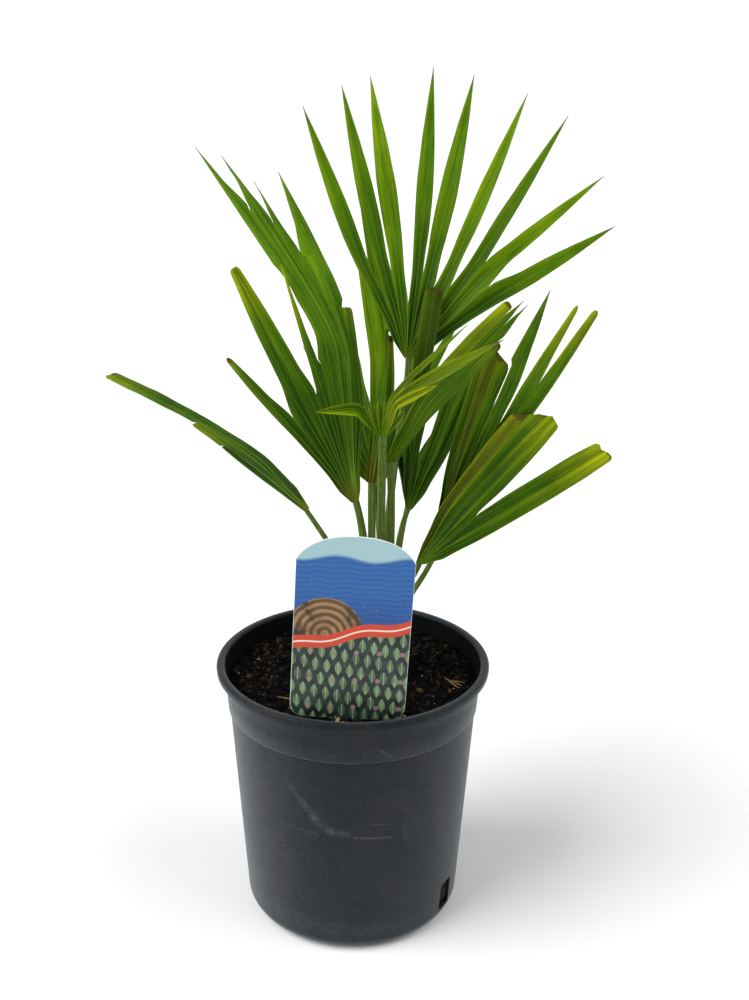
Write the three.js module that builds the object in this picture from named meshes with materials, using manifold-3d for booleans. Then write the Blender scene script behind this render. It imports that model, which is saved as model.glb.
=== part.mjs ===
// A young windmill palm (Trachycarpus fortunei) in its round nursery pot.
// Millimetres, +Z up. The origin is the centre of the pot's flat underside.
// The palm's fronds are named by where they stand in the crown, seen from the -Y side.

import * as THREE from 'three';
import { mergeVertices } from 'three/addons/utils/BufferGeometryUtils.js';
import Module from 'manifold-3d';

const wasm = await Module();
wasm.setup();

// ---------------------------------------------------------------- driving dimensions

const CLEARANCE = 0.3; // between any two pieces that touch on the real plant

const POT = {
  height: 186,
  lipRadius: 95,
  lipHeight: 5,
  lipWidth: 5.8,
  lipRounding: 1.5,
  lipRoot: 3, // how far below the lip its inside runs out into the wall
  collarHeight: 32, // from the rim down to the step in the wall
  collarRadius: 89.3, // under the lip
  stepRadius: 87.6, // at the collar's foot
  stepDepth: 1.2,
  footRadius: 77,
  footRounding: 10,
  wall: 1.8,
  floor: 3,
  floorInset: 7, // rounding between the wall's inside and the floor
  sides: 40,
};

// The drainage slots in the wall; turn is the first one's direction from +X, in degrees.
const SLOT = { count: 2, turn: -32, width: 14, height: 22, sill: 9, cut: 30 };

const SOIL = { level: 174, edge: 1.6 }; // edge: from the wall's inside to the soil's top

const STEM = {
  x: 18.5,
  y: 0,
  topLevel: 214,
  topRounding: 1,
  radii: [[0, 20.5], [0.14, 17.6], [0.45, 15.2], [0.85, 16.6]], // at shares of its height
  sides: 16,
};

const LABEL = {
  width: 73,
  thickness: 1,
  bottomLevel: 181,
  shoulderHeight: 107,
  archRise: 16,
  archFullness: 0.75, // how squarely the arch leaves the shoulders, from 0 to 1
  cornerRadius: 10,
  stakeWidth: 18,
  stakeDepth: 34,
  x: -4,
  y: -76,
  lean: 3, // degrees, sideways
};

const LEAFLET = {
  stepSpacing: 32, // between rows of points along it
  fold: 0.24, // how far the edges stand above the midrib, for each unit of half width
  thinness: 0.0104, // thickness for each unit of the frond's longest leaflet
  leastThickness: 1.2,
  kneeSoftness: 0.12,
  waist: 0.62, // width where a leaflet leaves the web, for each unit of its widest
  waistAt: 0.2,
  widestAt: 0.58,
  taper: 1.6, // power of the narrowing from there to the tip
  tipHalfWidth: 0.5,
  rootSpread: 1.3, // width of the blade's root for each unit of the stalk's
  outerSpread: 0.12, // widening of the web's outer edges for each unit of length
};

const STALK = { sides: 6, steps: 7, squash: 0.85 };

// Colour and roughness of each kind of piece.
const FINISH = {
  pot: [0x3c3e42, 0.6],
  soil: [0x2a211b, 0.95],
  label: [0x7fa9b8, 0.4],
  stem: [0x6e5638, 0.9],
  stalk: [0x5d7a35, 0.5],
  frond: [0x3f7016, 0.45],
};

// ---------------------------------------------------------------- fronds

// A leaflet leaves the hub at an angle in degrees from upright within the blade, clockwise,
// droops by its bend and curves within the blade by its swing. A tip is whole and pointed, a
// trim was cut off square.
const tip = (angle, length, width, bend, swing = 0) => (
  { angle, length, width, bend, swing, trimmed: false }
);
const trim = (angle, length, width, bend, swing = 0) => (
  { angle, length, width, bend, swing, trimmed: true }
);

const WHOLE = Infinity; // grown together as far as the shorter of two leaflets goes

// hub: where the leaflets meet. face: turn and tilt, in degrees, of the blade's upper side.
// sag: the way its leaflets droop, beside straight down. knee: where along a leaflet it starts.
// web: how far from the hub each leaflet and the next are grown together.
// stalk: root on the stem's top, rise of its first control point, lead of its last one into the
// hub, and its radius at root and hub.
const FRONDS = {
  top: {
    hub: [36, 26, 393], face: [-93, 12], sag: [0, 0.25], knee: 0.35,
    web: [46, 58, 36, 56, 49, 54, 80, 70],
    stalk: { root: [21, 5], rise: 104, lead: [-1, 4, 24], radius: [2.8, 2.1] },
    leaflets: [
      tip(-27.5, 173, 10.4, -0.3, -0.02), tip(-16.5, 178, 11.2, -0.25, -0.02), tip(-8, 185, 12.4, 0.2),
      tip(5, 184, 10.8, -0.25, -0.02), tip(13, 184, 12, -0.15), tip(24.5, 184, 9.6, -0.15, 0.02),
      tip(34.5, 182, 8.8, -0.35, 0.12), tip(41, 175, 9.6, 0.35, -0.04), tip(54, 161, 10.8, 0.2, -0.06),
    ],
  },
  middle: {
    hub: [12, 10, 311], face: [-95, 14], sag: [-1.2, 0.4], knee: 0.45,
    web: [130, WHOLE],
    stalk: { root: [13, 4.5], rise: 40, lead: [0, 1, 28], radius: [2.9, 2.5] },
    leaflets: [
      tip(0.5, 168, 8, 0.2), tip(4.5, 187, 8, 0.3), trim(13, 99, 5.2, 0.3),
    ],
  },
  left: {
    hub: [1, 8, 298], face: [-98, 12], sag: [-0.8, 0.3], knee: 0.4,
    web: [70, WHOLE, 76, 95, 205, 215, 190, 165, WHOLE],
    stalk: { root: [7.8, 1], rise: 30, lead: [-7, 2, 23], radius: [2.4, 1.9] },
    leaflets: [
      trim(-43, 131, 7.2, 0.05, 0.02), trim(-33, 175, 8, -0.1, -0.02),
      trim(-25.5, 177, 8.6, 0.05, -0.06), trim(-18.5, 164, 7, 0.05, 0.02),
      tip(-12.5, 258, 9.6, 0.55, 0.02), tip(-10, 241, 5.8, 0.55, 0.04),
      tip(-8.5, 244, 10.6, 0.55, -0.04), tip(-5.5, 221, 6.4, 0.55, -0.04),
      tip(-4, 224, 14.4, 0.5, 0.02), trim(2, 130, 5.2, 0.3, 0.02),
    ],
  },
  low_left: {
    hub: [-31, -6, 296], face: [-60, 62], sag: [-1, 0], knee: 0.2,
    web: [WHOLE, WHOLE],
    stalk: { root: [7, -6], rise: 24, lead: [-13, 0, 20], radius: [2.4, 1.9] },
    leaflets: [
      tip(-25, 89, 5.6, -0.1, -0.02), trim(-16.5, 116, 8, 0.1, -0.06),
      trim(-12.5, 214, 12.8, 0.2, 0.04),
    ],
  },
  centre: {
    hub: [37, 6, 294], face: [-90, 6], sag: [1, 0.3], knee: 0.3,
    web: [WHOLE, 30, WHOLE],
    stalk: { root: [28, 1.5], rise: 25, lead: [9.5, 1, 24], radius: [2.2, 1.8] },
    leaflets: [
      trim(1, 147, 12.8, 0.15), trim(5.5, 88, 4.6, 0.05, 0.06), trim(20, 105, 10.4, 0.05, -0.06),
      trim(31, 109, 10, -0.1, -0.04),
    ],
  },
  right: {
    hub: [58, -6, 284], face: [-88, 6], sag: [0.4, 0.1], knee: 0.25,
    web: [WHOLE, WHOLE, 95, 95, 135],
    stalk: { root: [30, -4], rise: 14, lead: [-1, 0, 27], radius: [2.2, 1.7] },
    leaflets: [
      trim(6, 114, 8, 0.35, 0.02), trim(10.5, 125, 8, 0.15, 0.04), trim(19, 118, 11, 0.1, -0.02),
      tip(24.5, 171, 12.4, -0.2, 0.12), trim(30.5, 171, 7.2, -0.15, 0.12),
      trim(37, 175, 7.8, -0.1, 0.02),
    ],
  },
  low_right: {
    hub: [43, -29, 268], face: [-80, 10], sag: [1, 0], knee: 0.25,
    web: [WHOLE, WHOLE, WHOLE, 48, WHOLE],
    stalk: { root: [27, -10], rise: 18, lead: [3, -5, 12], radius: [2.4, 2] },
    leaflets: [
      trim(23.5, 114, 8.4, 0.25), trim(34.5, 125, 6.6, 0.1, 0.04), trim(39.5, 130, 7.4, 0.1),
      trim(50.5, 129, 6.8, -0.05, -0.02), trim(54.5, 143, 12.4, 0.1, 0.04), trim(68, 147, 9.6, -0.1),
    ],
  },
  young: {
    hub: [18, -31, 355], face: [-90, 25], sag: [0, -0.5], knee: 0.35,
    web: [10, 14, 12, 25, 40, 30],
    stalk: { root: [18, -5.2], rise: 50, lead: [0, -10, 29], radius: [3.1, 2.6] },
    leaflets: [
      tip(-46, 42, 7.6, 1.2), trim(-13, 20, 5, 0.3), trim(-6, 19, 4.4, -0.4), tip(18, 68, 6, 1.15),
      tip(25, 109, 6.2, 1.15), tip(31, 75, 7.6, 1.35), tip(37, 44, 5.6, 1.3),
    ],
  },
  inner: {
    hub: [23, -19.5, 334], face: [-85, 13.5], sag: [0.6, -0.3], knee: 0.3,
    web: [WHOLE, 120, WHOLE],
    stalk: { root: [24.6, -4], rise: 45, lead: [-3, -6, 27], radius: [2.7, 2.4] },
    leaflets: [
      trim(27, 125, 12, 0.35), tip(32, 133, 8.4, 0.25), tip(37.5, 134, 7, 0.15, -0.02),
      trim(41.5, 109, 4.4, 0.15, -0.08),
    ],
  },
  back: {
    hub: [16, 36, 300], face: [-84, 40], sag: [0.1, 0.8], knee: 0.35, web: 60,
    stalk: { root: [20, 12], rise: 40, lead: [-1, 14, 24], radius: [2.5, 2] },
    leaflets: [
      tip(-45, 100, 7, 0.25), trim(-29.5, 155, 7.2, 0.2), tip(-19.5, 145, 7.6, 0.35),
      tip(-12, 185, 9, 0.25), tip(-5, 160, 7.8, 0.25), tip(6, 185, 9, 0.25), tip(20, 185, 9, 0.25),
      tip(25.5, 180, 8, 0.25), trim(34, 160, 8, 0.25),
    ],
  },
  back_left: {
    hub: [2, 30, 292], face: [-122, 44], sag: [-0.5, 0.6], knee: 0.35, web: 60,
    stalk: { root: [12, 11], rise: 30, lead: [-6, 8, 20], radius: [2.4, 1.8] },
    leaflets: [
      tip(-40, 150, 8, 0.25), tip(-32.5, 165, 8, 0.3), tip(-24, 170, 9, 0.25),
    ],
  },
  back_right: {
    hub: [38, 32, 288], face: [-58, 44], sag: [0.5, 0.6], knee: 0.35, web: 40,
    stalk: { root: [27.5, 8.5], rise: 28, lead: [5, 9, 18], radius: [2.4, 1.8] },
    leaflets: [
      trim(11.5, 150, 4.4, 0.3), tip(23, 170, 8.6, 0.25), trim(41.5, 149, 7, 0.35),
      trim(48, 150, 8, 0.25),
    ],
  },
};

// ---------------------------------------------------------------- solids

const degrees = (angle) => THREE.MathUtils.degToRad(angle);

function toSolid(geometry) {
  const plain = geometry.clone();
  for (const name of Object.keys(plain.attributes)) {
    if (name !== 'position') plain.deleteAttribute(name);
  }
  const merged = mergeVertices(plain, 1e-4);
  return new wasm.Manifold(new wasm.Mesh({
    numProp: 3,
    vertProperties: new Float32Array(merged.attributes.position.array),
    triVerts: new Uint32Array(merged.index.array),
  }));
}

function toGeometry(manifold) {
  const mesh = manifold.getMesh();
  const geometry = new THREE.BufferGeometry();
  geometry.setAttribute('position', new THREE.BufferAttribute(mesh.vertProperties, 3));
  geometry.setIndex(new THREE.BufferAttribute(mesh.triVerts, 1));
  return geometry;
}

// A closed skin over equal rings of points, with a fan of triangles over each end.
function loft(rings) {
  const count = rings[0].length;
  const positions = rings.flatMap((ring) => ring.flatMap((point) => point.toArray()));
  const index = [];
  const last = (rings.length - 1) * count;
  for (let near = 0; near < last; near += count) {
    for (let i = 0; i < count; i += 1) {
      const next = (i + 1) % count;
      index.push(near + i, near + next, near + count + next);
      index.push(near + i, near + count + next, near + count + i);
    }
  }
  for (let i = 1; i < count - 1; i += 1) {
    index.push(0, i + 1, i);
    index.push(last, last + i, last + i + 1);
  }
  return indexedGeometry(positions, index);
}

function indexedGeometry(positions, index) {
  const geometry = new THREE.BufferGeometry();
  geometry.setAttribute('position', new THREE.Float32BufferAttribute(positions, 3));
  geometry.setIndex(index);
  return geometry;
}

// Thickens a sheet into a closed body. A sheet is posts, each a point with the way its outer side
// faces, and quads between them; a wall closes every edge that has a quad on one side only.
function thicken({ posts, quads }, thickness) {
  const positions = posts.flatMap(({ point, outward }) => [0.5, -0.5].flatMap(
    (side) => point.clone().addScaledVector(outward, side * thickness).toArray(),
  ));
  const upper = (post) => 2 * post;
  const lower = (post) => 2 * post + 1;
  const index = [];
  const open = new Map();
  for (const quad of quads) {
    const [a, b, c, d] = quad;
    index.push(upper(a), upper(b), upper(c), upper(a), upper(c), upper(d));
    index.push(lower(a), lower(c), lower(b), lower(a), lower(d), lower(c));
    quad.forEach((from, i) => {
      const to = quad[(i + 1) % quad.length];
      if (!open.delete(`${to} ${from}`)) open.set(`${from} ${to}`, [from, to]);
    });
  }
  for (const [from, to] of open.values()) {
    index.push(upper(to), upper(from), lower(from), upper(to), lower(from), lower(to));
  }
  return indexedGeometry(positions, index);
}

function lathe(profile, sides) {
  const geometry = new THREE.LatheGeometry(profile.map(([r, z]) => new THREE.Vector2(r, z)), sides);
  geometry.rotateX(Math.PI / 2);
  return geometry;
}

// ---------------------------------------------------------------- pot, soil and label

function footArc(steps) {
  const { footRadius, footRounding } = POT;
  return Array.from({ length: steps + 1 }, (_, i) => {
    const turn = (Math.PI / 2) * (i / steps);
    return [
      footRadius - footRounding * (1 - Math.sin(turn)),
      footRounding * (1 - Math.cos(turn)),
    ];
  });
}

const stepLevel = POT.height - POT.collarHeight;
const lipBottom = POT.height - POT.lipHeight;

function innerRadius(level) {
  const foot = POT.footRadius - POT.wall;
  const step = POT.stepRadius - POT.stepDepth - POT.wall;
  return THREE.MathUtils.mapLinear(level, POT.floor, stepLevel, foot, step);
}

function makePot() {
  const lipInner = POT.lipRadius - POT.lipWidth;
  const profile = [
    [0, 0],
    ...footArc(4),
    [POT.stepRadius - POT.stepDepth, stepLevel],
    [POT.stepRadius, stepLevel],
    [POT.collarRadius, lipBottom],
    [POT.lipRadius, lipBottom],
    [POT.lipRadius, POT.height - POT.lipRounding],
    [POT.lipRadius - POT.lipRounding, POT.height],
    [lipInner + POT.lipRounding, POT.height],
    [lipInner, POT.height - POT.lipRounding],
    [POT.collarRadius - POT.wall, lipBottom - POT.lipRoot],
    [innerRadius(stepLevel), stepLevel],
    [innerRadius(POT.footRounding), POT.footRounding],
    [innerRadius(POT.floor) - POT.floorInset, POT.floor],
    [0, POT.floor],
  ];
  let pot = toSolid(lathe(profile, POT.sides));
  for (let i = 0; i < SLOT.count; i += 1) {
    const cutter = new THREE.BoxGeometry(SLOT.cut, SLOT.width, SLOT.height);
    cutter.translate(POT.footRadius, 0, SLOT.sill + SLOT.height / 2);
    cutter.rotateZ(degrees(SLOT.turn + (360 / SLOT.count) * i));
    pot = pot.subtract(toSolid(cutter));
  }
  return toGeometry(pot);
}

// The label's outline in its own upright plane, or with grow that of the slot it needs in the soil.
function labelOutline(grow) {
  const half = LABEL.width / 2 + grow;
  const stake = LABEL.stakeWidth / 2 + grow;
  const corner = LABEL.cornerRadius;
  const top = LABEL.shoulderHeight + LABEL.archRise;
  const full = half * LABEL.archFullness;
  const outline = new THREE.Shape();
  outline.moveTo(-stake, -LABEL.stakeDepth - grow);
  outline.lineTo(stake, -LABEL.stakeDepth - grow);
  outline.lineTo(stake, 0);
  outline.lineTo(half - corner, 0);
  outline.quadraticCurveTo(half, 0, half, corner);
  outline.lineTo(half, LABEL.shoulderHeight);
  outline.quadraticCurveTo(full, top, 0, top);
  outline.quadraticCurveTo(-full, top, -half, LABEL.shoulderHeight);
  outline.lineTo(-half, corner);
  outline.quadraticCurveTo(-half, 0, corner - half, 0);
  outline.lineTo(-stake, 0);
  return outline;
}

function labelBlank(grow) {
  const depth = LABEL.thickness + 2 * grow;
  const geometry = new THREE.ExtrudeGeometry(
    labelOutline(grow),
    { depth, bevelEnabled: false, curveSegments: 6 },
  );
  geometry.translate(0, 0, -depth / 2);
  geometry.rotateX(Math.PI / 2);
  geometry.rotateY(degrees(LABEL.lean));
  geometry.translate(LABEL.x, LABEL.y, LABEL.bottomLevel);
  return geometry;
}

function makeSoil() {
  const profile = [
    [0, POT.floor + CLEARANCE],
    [innerRadius(POT.floor) - POT.floorInset - 2 * CLEARANCE, POT.floor + CLEARANCE],
    [innerRadius(POT.footRounding) - CLEARANCE, POT.footRounding + CLEARANCE],
    [innerRadius(stepLevel) - CLEARANCE, stepLevel],
    [POT.collarRadius - POT.wall - SOIL.edge, SOIL.level],
    [0, SOIL.level],
  ];
  const soil = toSolid(lathe(profile, POT.sides));
  return toGeometry(soil.subtract(toSolid(labelBlank(CLEARANCE))));
}

// ---------------------------------------------------------------- stem, stalks and blades

function makeStem() {
  const foot = SOIL.level + CLEARANCE;
  const rise = STEM.topLevel - foot;
  const profile = [
    [0, foot],
    ...STEM.radii.map(([share, radius]) => [radius, foot + rise * share]),
    [STEM.radii.at(-1)[1] - STEM.topRounding, STEM.topLevel],
    [0, STEM.topLevel],
  ];
  const geometry = lathe(profile, STEM.sides);
  geometry.translate(STEM.x, STEM.y, 0);
  return toGeometry(toSolid(geometry));
}

function stalkCurve(frond) {
  const { root, rise, lead } = frond.stalk;
  const start = new THREE.Vector3(root[0], root[1], STEM.topLevel + CLEARANCE);
  const hub = new THREE.Vector3(...frond.hub);
  return new THREE.CubicBezierCurve3(
    start,
    start.clone().add(new THREE.Vector3(0, 0, rise)),
    hub.clone().sub(new THREE.Vector3(...lead)),
    hub,
  );
}

// The stalk as a tapering limb that ends flat at the hub.
function makeStalk(frond) {
  const curve = stalkCurve(frond);
  const [rootRadius, hubRadius] = frond.stalk.radius;
  const { normal } = bladeFrame(frond);
  const rings = [];
  for (let i = 0; i <= STALK.steps; i += 1) {
    const t = i / STALK.steps;
    const centre = curve.getPointAt(t);
    const { across, outward } = crossways(curve.getTangentAt(t), normal);
    const radius = THREE.MathUtils.lerp(rootRadius, hubRadius, t);
    const ring = [];
    for (let k = 0; k < STALK.sides; k += 1) {
      const turn = (-2 * Math.PI * (k + 0.5)) / STALK.sides;
      ring.push(centre.clone()
        .addScaledVector(across, radius * Math.cos(turn))
        .addScaledVector(outward, radius * STALK.squash * Math.sin(turn)));
    }
    rings.push(ring);
  }
  return loft(rings);
}

// The directions across a limb or leaflet: to its right, and out of its upper side.
function crossways(along, normal) {
  const across = new THREE.Vector3().crossVectors(along, normal).normalize();
  return { across, outward: new THREE.Vector3().crossVectors(across, along) };
}

function bladeFrame(frond) {
  const [turn, tilt] = frond.face.map(degrees);
  const normal = new THREE.Vector3(
    Math.cos(tilt) * Math.cos(turn),
    Math.cos(tilt) * Math.sin(turn),
    Math.sin(tilt),
  );
  const upright = new THREE.Vector3(0, 0, 1).projectOnPlane(normal).normalize();
  const side = new THREE.Vector3().crossVectors(upright, normal);
  return { normal, upright, side };
}

// The point on a leaflet's midrib at a distance from the hub.
function midrib(frond, leaflet, distance) {
  const { upright, side } = bladeFrame(frond);
  const angle = degrees(leaflet.angle);
  const heading = upright.clone().multiplyScalar(Math.cos(angle))
    .addScaledVector(side, Math.sin(angle));
  const sideways = side.clone().multiplyScalar(Math.cos(angle))
    .addScaledVector(upright, -Math.sin(angle));
  const droop = new THREE.Vector3(frond.sag[0], frond.sag[1], -1).projectOnPlane(heading);
  const past = Math.max(0, distance / leaflet.length - frond.knee);
  const bent = Math.hypot(past, LEAFLET.kneeSoftness) - LEAFLET.kneeSoftness;
  return new THREE.Vector3(...frond.hub)
    .addScaledVector(heading, distance)
    .addScaledVector(droop, leaflet.length * leaflet.bend * bent)
    .addScaledVector(sideways, leaflet.length * leaflet.swing * bent);
}

function halfWidth(leaflet, t) {
  const widening = THREE.MathUtils.smoothstep(t, LEAFLET.waistAt, LEAFLET.widestAt);
  let width = THREE.MathUtils.lerp(LEAFLET.waist, 1, widening);
  if (!leaflet.trimmed && t > LEAFLET.widestAt) {
    width = 1 - ((t - LEAFLET.widestAt) / (1 - LEAFLET.widestAt)) ** LEAFLET.taper;
  }
  return Math.max(LEAFLET.tipHalfWidth, (leaflet.width / 2) * width);
}

// A post on a leaflet's midrib at a distance from the hub.
function ribPost(frond, leaflet, distance) {
  const before = midrib(frond, leaflet, distance - 1);
  const after = midrib(frond, leaflet, distance + 1);
  const { across, outward } = crossways(after.sub(before).normalize(), bladeFrame(frond).normal);
  return { point: midrib(frond, leaflet, distance), across, outward };
}

// The posts on the ribs where the blade meets its stalk: side by side across the stalk's end.
function rootPosts(frond) {
  const along = stalkCurve(frond).getTangentAt(1);
  const { across, outward } = crossways(along, bladeFrame(frond).normal);
  const half = frond.stalk.radius[1] * LEAFLET.rootSpread;
  return frond.leaflets.map((_, place) => {
    const offset = half * ((2 * place + 1) / frond.leaflets.length - 1);
    const point = new THREE.Vector3(...frond.hub)
      .addScaledVector(along, CLEARANCE)
      .addScaledVector(across, offset);
    return { point, across, outward };
  });
}

function edgePost(rib, reach) {
  const point = rib.point.clone()
    .addScaledVector(rib.across, reach)
    .addScaledVector(rib.outward, LEAFLET.fold * Math.abs(reach));
  return { point, outward: rib.outward };
}

// The ridge halfway between the ribs of two leaflets that are grown together.
function ridgePost(rib, next) {
  const halfGap = rib.point.distanceTo(next.point) / 2;
  const outward = rib.outward.clone().add(next.outward).normalize();
  const point = rib.point.clone().lerp(next.point, 0.5)
    .addScaledVector(outward, LEAFLET.fold * halfGap);
  return { point, outward };
}

// A leaflet's half width towards one side, kept clear of the neighbour there.
function reachTowards(frond, leaflet, neighbour, distance) {
  const free = halfWidth(leaflet, distance / leaflet.length);
  if (!neighbour || distance > neighbour.length) {
    return Math.min(free, frond.stalk.radius[1] + LEAFLET.outerSpread * distance);
  }
  const gap = midrib(frond, leaflet, distance).distanceTo(midrib(frond, neighbour, distance));
  const share = leaflet.width / (leaflet.width + neighbour.width);
  return Math.max(LEAFLET.tipHalfWidth, Math.min(free, gap * share - CLEARANCE));
}

// A row of posts over leaflets that are grown together: edge, rib, ridge, rib ... edge.
function row(ribs, reach) {
  const pleats = ribs.slice(1).flatMap((rib, i) => [ridgePost(ribs[i], rib), rib]);
  return [edgePost(ribs[0], -reach[0]), ribs[0], ...pleats, edgePost(ribs.at(-1), reach[1])];
}

// Adds posts to a sheet and returns their numbers.
const addPosts = (sheet, posts) => posts.map((post) => sheet.posts.push(post) - 1);

function weave(sheet, near, far) {
  for (let i = 0; i < near.length - 1; i += 1) {
    sheet.quads.push([near[i], near[i + 1], far[i + 1], far[i]]);
  }
}

// How far from the hub a leaflet and the next are grown together.
function webLength({ web, leaflets }, place) {
  const shorter = Math.min(leaflets[place].length, leaflets[place + 1].length);
  return Math.min(shorter, Array.isArray(web) ? web[place] : web);
}

// Grows the leaflets from first to last on from a row of posts at a distance. They go on as one
// run to where the first two of them part, and then as the runs to either side.
function growRun(sheet, frond, first, last, start, near) {
  const { leaflets } = frond;
  const run = leaflets.slice(first, last + 1);
  const ends = run.slice(1).map((_, i) => webLength(frond, first + i));
  const end = run.length === 1 ? run[0].length : Math.min(...ends);
  if (run.length === 1 && end <= start) return;
  const steps = Math.max(1, Math.round((end - start) / LEAFLET.stepSpacing));
  let posts = near;
  for (let step = 1; step <= steps; step += 1) {
    const distance = start + ((end - start) * step) / steps;
    const ribs = run.map((leaflet) => ribPost(frond, leaflet, distance));
    const reach = [
      reachTowards(frond, run[0], leaflets[first - 1], distance),
      reachTowards(frond, run.at(-1), leaflets[last + 1], distance),
    ];
    const far = addPosts(sheet, row(ribs, reach));
    weave(sheet, posts, far);
    posts = far;
  }
  if (run.length === 1) return;
  const split = first + ends.indexOf(end);
  const rib = 2 * (split - first + 1);
  growRun(sheet, frond, first, split, end, posts.slice(0, rib + 1));
  growRun(sheet, frond, split + 1, last, end, posts.slice(rib));
}

function makeBlade(frond) {
  const { leaflets } = frond;
  const sheet = { posts: [], quads: [] };
  const reach = (frond.stalk.radius[1] * LEAFLET.rootSpread) / leaflets.length;
  const root = addPosts(sheet, row(rootPosts(frond), [reach, reach]));
  growRun(sheet, frond, 0, leaflets.length - 1, 0, root);
  const longest = Math.max(...leaflets.map((leaflet) => leaflet.length));
  return thicken(sheet, Math.max(LEAFLET.leastThickness, LEAFLET.thinness * longest));
}

// ---------------------------------------------------------------- the palm

const palm = new THREE.Group();

function addPiece(name, geometry, [color, roughness]) {
  const finish = new THREE.MeshStandardMaterial({ color, roughness, metalness: 0 });
  const mesh = new THREE.Mesh(geometry, finish);
  mesh.name = name;
  palm.add(mesh);
}

addPiece('pot', makePot(), FINISH.pot);
addPiece('soil', makeSoil(), FINISH.soil);
addPiece('label', labelBlank(0), FINISH.label);
addPiece('stem', makeStem(), FINISH.stem);
for (const [place, frond] of Object.entries(FRONDS)) {
  addPiece(`stalk_${place}`, makeStalk(frond), FINISH.stalk);
  addPiece(`frond_${place}`, makeBlade(frond), FINISH.frond);
}

export default palm;
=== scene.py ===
"""A young windmill palm in a round nursery pot, with a plastic plant label.

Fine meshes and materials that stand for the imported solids. The tables and the mesh code work in
millimetres in the frame of the solids; pieces are scaled to metres when they are made.
"""

import math
from collections import namedtuple
from random import Random

import bmesh
import bpy
from mathutils import Matrix, Vector, noise


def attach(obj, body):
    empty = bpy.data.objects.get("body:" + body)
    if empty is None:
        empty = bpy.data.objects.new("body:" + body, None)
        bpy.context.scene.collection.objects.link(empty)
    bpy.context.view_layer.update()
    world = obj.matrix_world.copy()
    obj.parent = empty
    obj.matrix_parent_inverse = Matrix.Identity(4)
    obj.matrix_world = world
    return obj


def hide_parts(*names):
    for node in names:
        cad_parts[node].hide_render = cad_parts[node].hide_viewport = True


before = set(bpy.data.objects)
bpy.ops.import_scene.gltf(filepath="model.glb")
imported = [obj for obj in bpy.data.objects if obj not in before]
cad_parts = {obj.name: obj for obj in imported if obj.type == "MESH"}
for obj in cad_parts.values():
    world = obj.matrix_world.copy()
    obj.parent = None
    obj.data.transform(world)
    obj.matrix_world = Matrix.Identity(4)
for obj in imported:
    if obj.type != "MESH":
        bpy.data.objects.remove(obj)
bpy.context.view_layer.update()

bl_info = {
    "name": "Potted windmill palm",
    "version": (1, 0, 0),
    "blender": (4, 5, 0),
    "location": "View3D > Sidebar > Palm",
    "description": "Builds a potted windmill palm piece by piece",
    "category": "Add Mesh",
}

MM = 0.001
UP = Vector((0, 0, 1))
IMAGE_HEIGHT = 1000  # in pixels; the image is 749 wide

# ------------------------------------------------------------------ fronds

# angle: in degrees from straight up, positive to the right. bend and swing: how far a leaflet
# droops and turns aside past its knee, as shares of its length. tone and knee: its own, where they
# aren't the frond's. end: a row of ENDS. natural: how long a leaflet that was trimmed would have
# been, as a share of the length that was left.
Leaflet = namedtuple("Leaflet", "angle length width bend swing trimmed tone end knee natural")


def tip(angle, length, width, bend, swing=0.0, tone=None, end="dry", knee=None):
    """A whole leaflet that is drawn out to a point."""
    return Leaflet(angle, length, width, bend, swing, False, tone, end, knee, 1.0)


def trim(angle, length, width, bend, swing=0.0, tone=None, end="cut", natural=1.3):
    """A leaflet whose end was cut off."""
    return Leaflet(angle, length, width, bend, swing, True, tone, end, None, natural)


WHOLE = math.inf  # grown together as far as the shorter of two leaflets goes

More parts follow.
